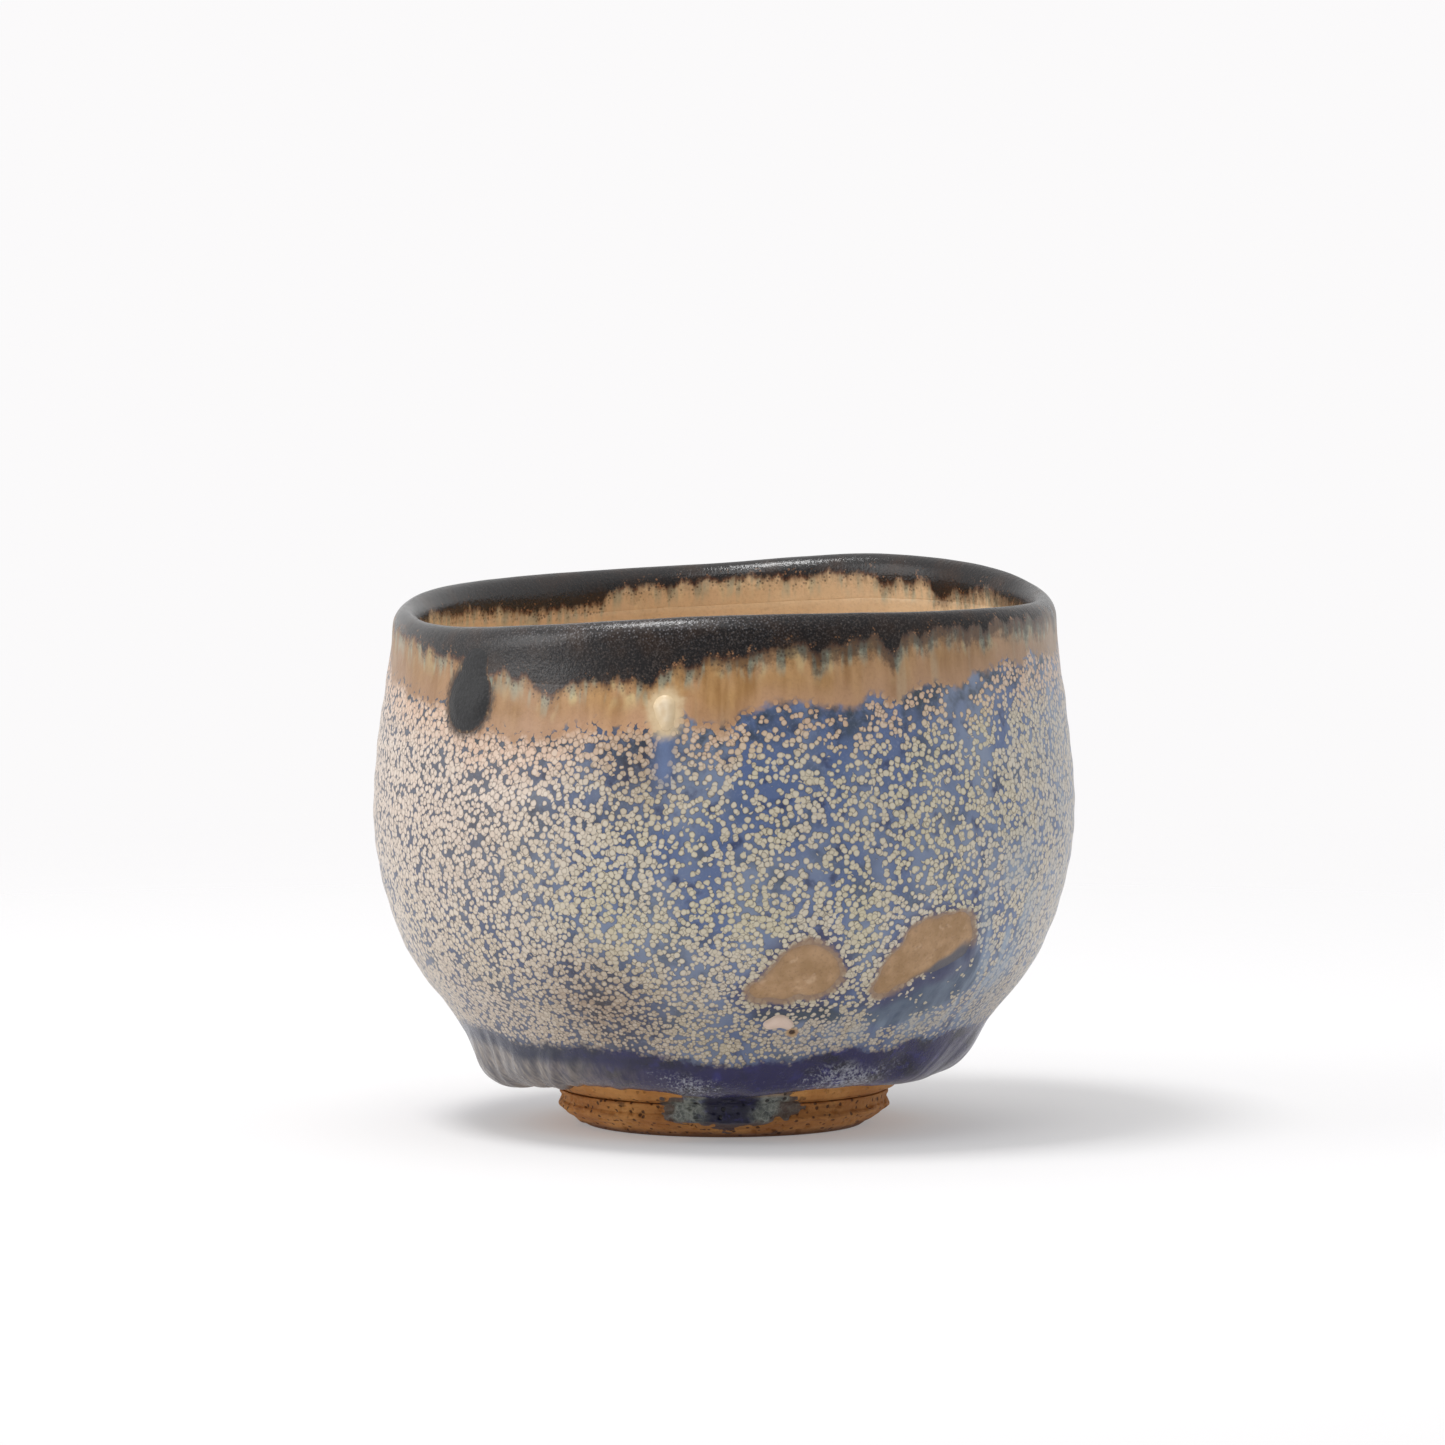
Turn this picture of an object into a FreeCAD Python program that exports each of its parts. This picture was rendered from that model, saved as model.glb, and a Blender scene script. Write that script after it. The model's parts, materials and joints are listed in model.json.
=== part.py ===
import FreeCAD, Part
import Sketcher

import math
import os

# Matcha bowl: a thrown stoneware bowl on a foot ring, with its coats, run, splash and beads of glaze as
# separate solids that touch each other.
#
# Frame: millimetres, +Z up, the origin on the table at the centre of the foot ring, and the front towards -Y.
# An azimuth is in degrees round the axis from the front, and is positive towards +X.
# The skin is the outside of the glaze. Each clay surface is that skin, inset by the thickness of its coat.

# ---------------------------------------------------------------- driving dimensions

DIMENSIONS = {
    # foot ring
    "foot_bore_radius": 18.8,
    "foot_inner_contact_radius": 19.6,
    "foot_outer_contact_radius": 22.7,
    "foot_shoulder_radius": 27.2,
    "foot_waist_radius": 26.6,
    "foot_top_radius": 27.0,
    "foot_bore_height": 0.8,
    "foot_shoulder_height": 3.1,
    "foot_waist_height": 4.7,
    "foot_top_height": 5.7,
    # bare clay between the foot ring and the glaze, and the hidden end of the glaze against it
    "joint_radius": 26.5,
    "cove_radius": 28.2,
    "cove_height": 6.5,
    "apron_radius": 30.0,
    "apron_height": 8.4,
    "glaze_stop_radius": 28.6,
    "glaze_stop_height": 10.4,
    # thickness of the wall and of each coat of glaze
    "wall_thickness": 4.0,
    "coat_roll": 1.6,
    "coat_wall": 0.8,
    "coat_lip": 0.8,
    "coat_inside": 0.8,
    "coat_film": 0.35,
    # the heights between which the wall takes up the waves of the rim and loses those of the hem
    "rim_wave_start_height": 56.0,
    "rim_wave_full_height": 80.0,
    "hem_wave_full_height": 10.0,
    "hem_wave_end_height": 24.0,
    "tongue_drop": 1.4,
    "tongue_spread_angle": 18.0,
    # the plan is a little out of round: a share of the radius, and the azimuth of a crest
    "oval_share": 0.004,
    "oval_azimuth": 35.0,
    # the black rim glaze stops this far below the lip, in addition to its wavy line outside
    "rim_glaze_inside_drop": 7.0,
    "line_inner_radius": 45.0,
    "line_wall_radius": 52.0,
    "line_outer_radius": 62.0,
    "line_clearance_height": 110.0,
    # run of black glaze down the front left: a bulb under a neck
    "run_bulb_azimuth": -47.5,
    "run_bulb_height": 71.5,
    "run_bulb_half_width": 5.4,
    "run_bulb_half_length": 4.0,
    "run_neck_azimuth": -48.5,
    "run_neck_height": 76.2,
    "run_neck_half_width": 4.9,
    "run_neck_half_length": 6.4,
    "run_depth": 1.9,
    "run_proud": 1.1,
    # splash of glaze on the foot ring
    "splash_azimuth": 2.0,
    "splash_height": 5.6,
    "splash_half_width": 11.4,
    "splash_half_length": 4.2,
    "splash_depth": 9.0,
    "splash_root_radius": 24.6,
    "splash_foot_height": 1.2,
    "splash_toe_radius": 25.2,
    "splash_knee_height": 3.0,
    "splash_shoulder_radius": 27.9,
    "splash_cove_height": 5.9,
    "splash_top_radius": 30.4,
    "splash_apron_height": 8.6,
    # finger marks: outlines through the coat
    "finger_left_azimuth": 13.0,
    "finger_left_height": 29.2,
    "finger_left_half_width": 4.6,
    "finger_left_half_length": 7.6,
    "finger_left_tilt": 60.0,
    "finger_right_azimuth": 38.0,
    "finger_right_height": 31.8,
    "finger_right_half_width": 4.8,
    "finger_right_half_length": 9.6,
    "finger_right_tilt": 48.0,
    "finger_depth": 2.8,
    # pale beads of glaze
    "bead_wall_azimuth": -9.8,
    "bead_wall_height": 71.8,
    "bead_wall_half_size": 2.4,
    "bead_heel_azimuth": 10.7,
    "bead_heel_height": 21.5,
    "bead_heel_half_size": 1.7,
    "bead_depth": 1.0,
    "bead_proud": 0.5,
}

# Stations of the skin, radius and height, from the glaze's lower edge up the outside, over the lip and down
# to the middle of the floor.
OUTSIDE = {
    "hem": (30.8, 7.9),
    "sag": (34.2, 7.6),
    "turn": (38.4, 9.3),
    "heel": (41.1, 13.0),
    "notch": (43.3, 17.0),
    "lower_flank": (49.5, 24.8),
    "flank": (54.6, 35.2),
    "belly": (57.5, 50.0),
    "shoulder": (56.6, 64.0),
    "neck": (55.0, 76.0),
    "collar": (54.3, 82.3),
}
LIP = {
    "lip_outside": (53.8, 85.4),
    "crest": (52.0, 86.8),
    "lip_inside": (50.2, 85.4),
}
INSIDE = {
    "throat": (49.7, 81.5),
    "inner_neck": (50.2, 73.0),
    "inner_belly": (52.9, 52.0),
    "inner_flank": (49.6, 34.0),
    "inner_turn": (41.8, 22.6),
    "well_edge": (30.0, 16.4),
    "well": (15.0, 14.0),
    "floor": (4.0, 13.6),
}
ROLL_STATIONS = ("hem", "sag", "turn", "heel")

# Wavy lines round the bowl. Each is a height every 30 degrees, anticlockwise seen from above, from the front.
LINES = {
    "rim_line": (87.5, 87.4, 86.7, 86.5, 89.0, 90.1, 87.9, 86.8, 86.2, 84.6, 83.5, 85.5),
    "hem_line": (9.5, 9.6, 8.9, 8.4, 7.8, 7.6, 7.9, 7.4, 6.9, 6.6, 7.4, 9.2),
    "rim_glaze_line": (80.2, 83.3, 84.4, 84.6, 85.4, 85.0, 83.4, 82.4, 82.6, 82.2, 79.6, 75.6),
    "roll_line": (14.0, 15.8, 17.6, 17.0, 15.6, 15.0, 16.0, 17.2, 17.6, 18.0, 17.0, 15.6),
}
LINE_STEP = 30  # degrees between a line's heights
RING_STEP = 10  # degrees between the poles of a ring

doc = FreeCAD.newDocument("MatchaBowl")
sheet = doc.addObject("Spreadsheet::Sheet", "Dimensions")


def fill_sheet():
    """One row for each driving dimension: its name, and its value in a cell with the name as its alias."""
    named = dict(DIMENSIONS)
    for station, (radius, height) in (OUTSIDE | LIP | INSIDE).items():
        named[station + "_radius"] = radius
        named[station + "_height"] = height
    for line, heights in LINES.items():
        for index, height in enumerate(heights):
            named[f"{line}_at_{index * LINE_STEP}"] = height
    for row, (alias, value) in enumerate(named.items(), start=1):
        sheet.set(f"A{row}", alias)
        sheet.set(f"B{row}", str(value))
        sheet.setAlias(f"B{row}", alias)
    doc.recompute()


def size(alias):
    return float(sheet.get(alias))


def cell(alias):
    return f"{sheet.Name}.{alias}"


# ---------------------------------------------------------------- the hand-thrown form


def line_height(line, azimuth):
    """A line's height at an azimuth, by a smooth curve through its heights."""
    steps = (azimuth % 360.0) / LINE_STEP
    index = int(steps)
    share = steps - index
    count = len(LINES[line])
    before, start, end, after = (
        size(f"{line}_at_{(index + offset) % count * LINE_STEP}") for offset in (-1, 0, 1, 2)
    )
    slope_start = (end - before) / 2.0
    slope_end = (after - start) / 2.0
    bend = 3.0 * (end - start) - 2.0 * slope_start - slope_end
    twist = slope_start + slope_end - 2.0 * (end - start)
    return start + slope_start * share + bend * share**2 + twist * share**3


def smooth_step(value, start, end):
    share = min(1.0, max(0.0, (value - start) / (end - start)))
    return share * share * (3.0 - 2.0 * share)


def no_lift(azimuth, height):
    return 0.0


def rim_lift(azimuth, height):
    """How far the waves of the rim raise a point of the wall."""
    share = smooth_step(height, size("rim_wave_start_height"), size("rim_wave_full_height"))
    return share * (line_height("rim_line", azimuth) - size("crest_height"))


def hem_lift(azimuth, height):
    """How far the waves of the glaze's lower edge, and its tongue at the front, raise the underside."""
    share = 1.0 - smooth_step(height, size("hem_wave_full_height"), size("hem_wave_end_height"))
    from_front = (azimuth + 180.0) % 360.0 - 180.0
    tongue = size("tongue_drop") * math.exp(-((from_front / size("tongue_spread_angle")) ** 2))
    return share * (line_height("hem_line", azimuth) - size("hem_height") - tongue)


def plan_factor(azimuth):
    return 1.0 + size("oval_share") * math.cos(2.0 * math.radians(azimuth - size("oval_azimuth")))


def on_bowl(azimuth, radius, height):
    angle = math.radians(azimuth)
    return FreeCAD.Vector(radius * math.sin(angle), -radius * math.cos(angle), height)


def ring_poles(radius, height, lift):
    """Poles of a closed cubic ring at that radius. The poles of a cubic circle stand outside it."""
    outward = 3.0 / (2.0 + math.cos(math.radians(RING_STEP)))
    poles = []
    for azimuth in range(-180, 180, RING_STEP):
        pole_radius = radius * plan_factor(azimuth) * outward
        poles.append(on_bowl(azimuth, pole_radius, height + lift(azimuth, height)))
    return poles


def band(stations):
    """A closed band through stations, (radius, height, lift): the curve through their radii and heights,
    carried round the axis, with each of its poles raised by the lift of the station beside it."""
    curve = Part.BSplineCurve()
    curve.interpolate(Points=[FreeCAD.Vector(radius, 0.0, height) for radius, height, _ in stations])
    poles = curve.getPoles()
    spare = (len(poles) - len(stations)) // 2
    rings = []
    for index, pole in enumerate(poles):
        station = min(max(index - spare, 0), len(stations) - 1)
        rings.append(ring_poles(pole.x, pole.z, stations[station][2]))
    surface = Part.BSplineSurface()
    surface.buildFromPolesMultsKnots(
        [list(row) for row in zip(*rings)],
        [1] * (len(rings[0]) + 1),
        curve.getMultiplicities(),
        range(len(rings[0]) + 1),
        curve.getKnots(),
        True,
        False,
        3,
        curve.Degree,
    )
    return surface


def disc(surface, at_end):
    """The flat disc that closes a band's first or last ring."""
    low, high = surface.bounds()[2:]
    edge = surface.vIso(high if at_end else low).toShape()
    return Part.Face(Part.Wire([edge]))


def form(name, bands):
    """A solid between bands that share their end rings. Its first and last rings are flat."""
    faces = [surface.toShape() for surface in bands]
    faces.append(disc(bands[0], at_end=False))
    faces.append(disc(bands[-1], at_end=True))
    shell = Part.makeShell(faces)
    shell.sewShape()
    solid = Part.makeSolid(shell)
    if solid.Volume < 0.0:
        solid.reverse()
    feature = doc.addObject("Part::Feature", name)
    feature.Shape = solid
    feature.Placement = FreeCAD.Placement()
    return feature


# ---------------------------------------------------------------- bands and solids of the form


def coat(station):
    """Thickness of the glaze at a station."""
    if station in ROLL_STATIONS:
        return size("coat_roll")
    if station in OUTSIDE:
        return size("coat_wall")
    if station in LIP:
        return size("coat_lip")
    return size("coat_inside")


def wall_lift(azimuth, height):
    return hem_lift(azimuth, height) + rim_lift(azimuth, height)


def no_inset(station):
    return 0.0


def down_to_film(station):
    return coat(station) - size("coat_film")


def down_to_middle(station):
    return coat(station) + size("wall_thickness") / 2.0


def skin(inset):
    """The stations of the skin from the hem to the floor, each (radius, height, lift) and moved into the
    wall by its own inset."""
    names = list(OUTSIDE | LIP | INSIDE)
    points = [(size(name + "_radius"), size(name + "_height")) for name in names]
    stations = []
    for index, name in enumerate(names):
        radius, height = points[index]
        before = points[max(index - 1, 0)]
        after = points[min(index + 1, len(points) - 1)]
        along_radius = after[0] - before[0]
        along_height = after[1] - before[1]
        share = inset(name) / math.hypot(along_radius, along_height)
        lift = rim_lift if name in INSIDE else wall_lift
        stations.append((radius - share * along_height, height + share * along_radius, lift))
    return stations


def glaze_stop():
    """The flat ring inside the clay where the forms of the glaze close."""
    return (size("glaze_stop_radius"), size("glaze_stop_height"), no_lift)


def glazed_form():
    """Everything inside the skin: wall, coats and all."""
    stations = skin(no_inset)
    return form("glazed_form", [band([glaze_stop(), stations[0]]), band(stations)])


def film_form():
    """The wall with only a film of glaze on it, which the finger marks show."""
    stations = skin(down_to_film)
    return form("film_form", [band([glaze_stop(), stations[0]]), band(stations)])


def clay_bowl():
    """The thrown bowl: wall, floor, and the bare cove above the foot ring."""
    joint = (size("joint_radius"), size("foot_top_height"), no_lift)
    cove = (size("cove_radius"), size("cove_height"), no_lift)
    apron = (size("apron_radius"), size("apron_height"), hem_lift)
    covered = skin(coat)[list(OUTSIDE).index("sag"):]
    return form("clay_bowl", [band([joint, cove]), band([cove, apron] + covered)])


def core_form():
    """A solid that ends in the middle of the clay wall, and so parts the inner coat from the outer one."""
    outside = list(OUTSIDE)
    wall = skin(down_to_middle)[outside.index("turn"):len(outside)]
    bottom = (size("well_radius"), size("glaze_stop_height"), no_lift)
    top = (wall[-1][0], size("line_clearance_height"), no_lift)
    return form("core_form", [band([bottom, wall[0]]), band(wall), band([wall[-1], top])])


def line_lift(line, base):
    """A lift that takes a point from the base height to the wavy line."""
    return lambda azimuth, height: line_height(line, azimuth) - base


def above_rim_glaze_line():
    """The space over the lower edge of the rim glaze, outside and in."""
    base = size("neck_height")
    to_line = line_lift("rim_glaze_line", base)
    centre = (size("floor_radius"), base, no_lift)
    inner = (size("line_inner_radius"), base - size("rim_glaze_inside_drop"), to_line)
    wall = (size("line_wall_radius"), base, to_line)
    outer = (size("line_outer_radius"), base, to_line)
    top = (size("line_outer_radius"), size("line_clearance_height"), no_lift)
    stations = [centre, inner, wall, outer, top]
    return form("above_rim_glaze_line", [band(list(pair)) for pair in zip(stations, stations[1:])])


def below_roll_line():
    """The space under the upper edge of the cobalt roll."""
    base = size("notch_height")
    to_line = line_lift("roll_line", base)
    bottom = (size("line_outer_radius"), -size("notch_height"), no_lift)
    outer = (size("line_outer_radius"), base, to_line)
    inner = (size("turn_radius"), base, to_line)
    centre = (size("floor_radius"), base, no_lift)
    stations = [bottom, outer, inner, centre]
    return form("below_roll_line", [band(list(pair)) for pair in zip(stations, stations[1:])])


# ---------------------------------------------------------------- foot ring and the collar of glaze round it


def origin_plane(body, role):
    return next(feature for feature in body.Origin.OriginFeatures if feature.Role == role)


def bind(sketch, kind, point, value, name, alias):
    """Holds a point of the sketch at a distance from its origin, and ties the distance to the sheet."""
    index = sketch.addConstraint(Sketcher.Constraint(kind, -1, 1, point, 1, value))
    sketch.renameConstraint(index, name)
    sketch.setExpression(f"Constraints.{name}", cell(alias))


def turned_body(name, corners):
    """A body turned round the axis from a closed outline of straight sides. A corner is a pair of aliases,
    its radius and its height, and a height of None is on the table."""
    body = doc.addObject("PartDesign::Body", name)
    sketch = body.newObject("Sketcher::SketchObject", name + "_outline")
    sketch.AttachmentSupport = [(origin_plane(body, "XZ_Plane"), "")]
    sketch.MapMode = "FlatFace"
    heights = [size(height) if height else 0.0 for _, height in corners]
    points = [FreeCAD.Vector(size(corner[0]), height, 0.0) for corner, height in zip(corners, heights)]
    for start, end in zip(points, points[1:] + points[:1]):
        sketch.addGeometry(Part.LineSegment(start, end), False)
    for index in range(len(points)):
        following = (index + 1) % len(points)
        sketch.addConstraint(Sketcher.Constraint("Coincident", index, 2, following, 1))
    for index, (radius, height) in enumerate(corners):
        bind(sketch, "DistanceX", index, points[index].x, f"radius_{index}", radius)
        if height:
            bind(sketch, "DistanceY", index, points[index].y, f"height_{index}", height)
        else:
            sketch.addConstraint(Sketcher.Constraint("PointOnObject", index, 1, -1))
    turned = body.newObject("PartDesign::Revolution", name + "_turned")
    turned.Profile = sketch
    turned.ReferenceAxis = (sketch, ["V_Axis"])
    turned.Angle = 360.0
    return body


def foot_ring():
    """The foot ring: bevelled to a narrow flat to stand on, with a slight waist under the bowl."""
    return turned_body(
        "foot_ring",
        [
            ("foot_inner_contact_radius", None),
            ("foot_outer_contact_radius", None),
            ("foot_shoulder_radius", "foot_shoulder_height"),
            ("foot_waist_radius", "foot_waist_height"),
            ("foot_top_radius", "foot_top_height"),
            ("foot_bore_radius", "foot_top_height"),
            ("foot_bore_radius", "foot_bore_height"),
        ],
    )


def splash_collar():
    """A thin collar round the foot ring and the cove, from which the splash of glaze is taken."""
    return turned_body(
        "splash_collar",
        [
            ("splash_root_radius", "splash_foot_height"),
            ("splash_toe_radius", "splash_foot_height"),
            ("splash_shoulder_radius", "splash_knee_height"),
            ("splash_shoulder_radius", "splash_cove_height"),
            ("splash_top_radius", "splash_apron_height"),
            ("splash_top_radius", "glaze_stop_height"),
            ("splash_root_radius", "glaze_stop_height"),
        ],
    )


# ---------------------------------------------------------------- coats, run, marks and beads


def boolean(kind, name, base, tool):
    """A Part::Cut, Part::Common or Part::Fuse of two objects."""
    result = doc.addObject("Part::" + kind, name)
    result.Base = base
    result.Tool = tool
    return result


def skin_radius(height):
    """Mean radius of the outside at that height, along straight lines between the stations."""
    names = list(OUTSIDE)[list(OUTSIDE).index("turn"):]
    stations = [(size(name + "_radius"), size(name + "_height")) for name in names]
    for (low_radius, low), (high_radius, high) in zip(stations, stations[1:]):
        if height <= high:
            return low_radius + (high_radius - low_radius) * (height - low) / (high - low)
    return stations[-1][0]


def on_skin(azimuth, height, tilt=0.0, sink=0.0):
    """A placement on the skin: X out of the wall, Z up along it, turned by the tilt and sunk into it."""
    step = 1.0
    lean = math.degrees(math.atan2(skin_radius(height + step) - skin_radius(height - step), 2.0 * step))
    about_axis = FreeCAD.Rotation(FreeCAD.Vector(0, 0, 1), azimuth - 90.0)
    lie_back = FreeCAD.Rotation(FreeCAD.Vector(0, 1, 0), lean)
    turn = FreeCAD.Rotation(FreeCAD.Vector(1, 0, 0), tilt)
    rotation = about_axis.multiply(lie_back).multiply(turn)
    place = on_bowl(azimuth, skin_radius(height) * plan_factor(azimuth), height)
    out = rotation.multVec(FreeCAD.Vector(1, 0, 0))
    return FreeCAD.Placement(place - out * sink, rotation)


def blob(name, depth_alias, width_alias, length_alias, placement):
    """An ellipsoid on the skin, with its half sizes out of the wall, round it and up it."""
    ellipsoid = doc.addObject("Part::Ellipsoid", name)
    ellipsoid.Angle1 = -90.0
    ellipsoid.Angle2 = 90.0
    ellipsoid.Angle3 = 360.0
    ellipsoid.setExpression("Radius2", cell(depth_alias))
    ellipsoid.setExpression("Radius3", cell(width_alias))
    ellipsoid.setExpression("Radius1", cell(length_alias))
    ellipsoid.Placement = placement
    return ellipsoid


def run_blob(name):
    """The bulb or the neck of the run down the front left."""
    sink = size("run_depth") - size("run_proud")
    placement = on_skin(size(name + "_azimuth"), size(name + "_height"), sink=sink)
    return blob(name, "run_depth", name + "_half_width", name + "_half_length", placement)


def finger_outline(name):
    """The outline of a finger mark, right through the coat."""
    placement = on_skin(size(name + "_azimuth"), size(name + "_height"), tilt=size(name + "_tilt"))
    return blob(name + "_outline", "finger_depth", name + "_half_width", name + "_half_length", placement)


def bead(name):
    sink = size("bead_depth") - size("bead_proud")
    placement = on_skin(size(name + "_azimuth"), size(name + "_height"), sink=sink)
    return blob(name, "bead_depth", name + "_half_size", name + "_half_size", placement)


def splash_outline():
    """The rounded outline of the splash on the foot."""
    placement = FreeCAD.Placement(
        on_bowl(size("splash_azimuth"), size("foot_outer_contact_radius"), size("splash_height")),
        FreeCAD.Rotation(FreeCAD.Vector(0, 0, 1), size("splash_azimuth") - 90.0),
    )
    return blob("splash_outline", "splash_depth", "splash_half_width", "splash_half_length", placement)


def build():
    """Every sub-part, by the name of its file."""
    clay = clay_bowl()
    foot = foot_ring()
    glazed = glazed_form()
    core = core_form()
    above_line = above_rim_glaze_line()
    below_line = below_roll_line()
    coats = boolean("Cut", "coats", glazed, clay)
    film = boolean("Cut", "film", film_form(), clay)
    rim = boolean("Common", "rim_coat", coats, above_line)
    lower = boolean("Cut", "lower_coats", coats, above_line)
    inner = boolean("Common", "inner_coat", lower, core)
    outer = boolean("Cut", "outer_coat", lower, core)
    roll = boolean("Common", "roll", outer, below_line)
    wall = boolean("Cut", "wall_coat", outer, below_line)
    left_outline = finger_outline("finger_left")
    right_outline = finger_outline("finger_right")
    outlines = boolean("Fuse", "finger_outlines", left_outline, right_outline)
    run = boolean("Fuse", "run_blobs", run_blob("run_bulb"), run_blob("run_neck"))
    beads = boolean("Fuse", "bead_blobs", bead("bead_wall"), bead("bead_heel"))
    splash = boolean("Common", "splash_blank", splash_collar(), splash_outline())
    bare_bowl = boolean("Fuse", "bare_bowl", clay, foot)
    splash_off_clay = boolean("Cut", "splash_off_clay", splash, bare_bowl)
    return {
        "clay_bowl": clay,
        "foot_ring": foot,
        "outer_glaze": boolean("Cut", "outer_glaze_coat", wall, outlines),
        "glaze_roll": roll,
        "rim_glaze": rim,
        "rim_run": boolean("Cut", "run", run, glazed),
        "inner_glaze": inner,
        "finger_mark_left": boolean("Common", "finger_left_film", film, left_outline),
        "finger_mark_right": boolean("Common", "finger_right_film", film, right_outline),
        "foot_glaze_run": boolean("Cut", "splash", splash_off_clay, glazed),
        "glaze_bead": boolean("Cut", "beads", beads, glazed),
    }


def export(parts):
    """Checks every object, then writes each sub-part's shape to its own file."""
    for item in doc.Objects:
        if {"Invalid", "Error"} & set(item.State):
            raise RuntimeError(f"{item.Name} didn't build: {item.State}")
    for name, item in parts.items():
        if item.Shape.isNull() or not item.Shape.isValid() or not item.Shape.Solids:
            raise RuntimeError(f"{name} has no valid solid")
    os.makedirs("parts", exist_ok=True)
    for name, item in parts.items():
        item.Shape.exportStep(f"parts/{name}.step")


fill_sheet()
parts = build()
for name, item in parts.items():
    item.Label = name
doc.recompute()
export(parts)
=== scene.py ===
import json
import math

import bpy
import numpy as np
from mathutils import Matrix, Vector
from mathutils.bvhtree import BVHTree

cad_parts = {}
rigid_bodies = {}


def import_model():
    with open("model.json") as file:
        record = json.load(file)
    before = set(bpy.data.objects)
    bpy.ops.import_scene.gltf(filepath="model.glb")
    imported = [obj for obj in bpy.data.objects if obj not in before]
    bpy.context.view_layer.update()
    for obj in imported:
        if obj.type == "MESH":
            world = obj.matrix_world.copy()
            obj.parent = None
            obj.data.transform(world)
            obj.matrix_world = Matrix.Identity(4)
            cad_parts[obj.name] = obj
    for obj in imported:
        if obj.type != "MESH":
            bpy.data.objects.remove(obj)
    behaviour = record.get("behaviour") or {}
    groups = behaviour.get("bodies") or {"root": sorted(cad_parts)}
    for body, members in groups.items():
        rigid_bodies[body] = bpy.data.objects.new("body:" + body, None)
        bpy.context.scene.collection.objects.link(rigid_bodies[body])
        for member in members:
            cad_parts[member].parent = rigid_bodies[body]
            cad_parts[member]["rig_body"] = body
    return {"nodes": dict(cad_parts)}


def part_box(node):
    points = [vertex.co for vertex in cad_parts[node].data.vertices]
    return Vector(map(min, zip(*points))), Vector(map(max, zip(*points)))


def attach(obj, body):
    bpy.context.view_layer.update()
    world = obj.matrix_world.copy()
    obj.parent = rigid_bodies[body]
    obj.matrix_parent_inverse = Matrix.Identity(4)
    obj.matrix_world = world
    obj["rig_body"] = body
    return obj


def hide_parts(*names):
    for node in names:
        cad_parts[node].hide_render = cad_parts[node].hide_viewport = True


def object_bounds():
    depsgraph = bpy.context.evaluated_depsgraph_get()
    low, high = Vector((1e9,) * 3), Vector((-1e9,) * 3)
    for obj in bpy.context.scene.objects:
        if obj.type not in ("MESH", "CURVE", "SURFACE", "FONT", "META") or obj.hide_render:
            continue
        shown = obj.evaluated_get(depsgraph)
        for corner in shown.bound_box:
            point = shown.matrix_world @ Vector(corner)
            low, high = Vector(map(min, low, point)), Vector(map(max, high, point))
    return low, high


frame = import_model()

# The matcha bowl's looks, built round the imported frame.
#
# The script works in millimetres and in the frame's own axes, and turns to metres only where a mesh, a light
# or the camera is made. An azimuth is in degrees round the axis from the front (-Y), positive towards +X. A
# "drop" is the distance along the wall from the crest of the rim: down the outside, or down the inside to the
# middle of the floor. A signed drop is below 0 on the inside.
#
# Each coat, mass of clay and bead is its own closed mesh. The skin they share is read from the CAD nodes.

for stray in [item for item in bpy.data.objects if "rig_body" not in item and item.type != "EMPTY"]:
    bpy.data.objects.remove(stray)

cad_low, cad_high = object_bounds()
MM = 0.001
COLUMNS = 576  # columns of a mesh that goes all the way round
PROBES = 72  # columns in which the frame is probed
SAMPLES = 900  # points down a probed profile
RAY_STEP = 0.8  # degrees between the rays that find the wall
TURN = 360.0
FAR = 20.0  # stands for "nowhere near" in a distance field

RADIUS = max(cad_high[0], -cad_low[0]) / MM
HEIGHT = cad_high[2] / MM

# ------------------------------------------------------------------ small numeric tools


def smooth_step(value, start, end):
    share = np.clip((value - start) / (end - start), 0.0, 1.0)
    return share * share * (3.0 - 2.0 * share)


def bump_at(value, centre, spread):
    return np.exp(-(((value - centre) / spread) ** 2))


def even_turns(columns):
    """Azimuths of evenly spaced columns, from the front."""
    return np.arange(columns) * TURN / columns


def turn_from(azimuth, centre):
    """Signed angle from a centre azimuth, within half a turn."""
    return (azimuth - centre + TURN / 2.0) % TURN - TURN / 2.0


def hashed(lattice, seed):
    """A repeatable value from -1 to 1 for each whole-number lattice point."""
    cells = lattice.astype(np.int64).astype(np.uint64)
    mixed = (
        cells[..., 0] * np.uint64(374761393)
        + cells[..., 1] * np.uint64(668265263)
        + cells[..., 2] * np.uint64(2246822519)
        + np.uint64(seed * 3266489917 % 2**32)
    ) & np.uint64(0xFFFFFFFF)
    mixed = ((mixed ^ (mixed >> np.uint64(13))) * np.uint64(1274126177)) & np.uint64(0xFFFFFFFF)
    mixed = ((mixed ^ (mixed >> np.uint64(16))) * np.uint64(2654435761)) & np.uint64(0xFFFFFFFF)
    mixed = mixed ^ (mixed >> np.uint64(15))
    return mixed.astype(float) / 2**31 - 1.0


def noise(points, cell, seed=0, octaves=1):
    """Smooth noise from about -1 to 1 at the points (..., 3), with that cell size in millimetres."""
    total = np.zeros(points.shape[:-1])
    amplitude, reach = 1.0, 0.0
    for octave in range(octaves):
        scaled = points / cell * 2**octave + 1000.0
        base = np.floor(scaled)
        part = scaled - base
        part = part * part * part * (part * (part * 6.0 - 15.0) + 10.0)
        value = np.zeros(points.shape[:-1])
        for corner in range(8):
            offset = np.array([corner & 1, corner >> 1 & 1, corner >> 2 & 1])
            weight = np.prod(np.where(offset, part, 1.0 - part), axis=-1)
            value += weight * hashed(base + offset, seed + 17 * octave)
        total += amplitude * value
        reach += amplitude
        amplitude *= 0.5
    return total / reach * 1.6


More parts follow.
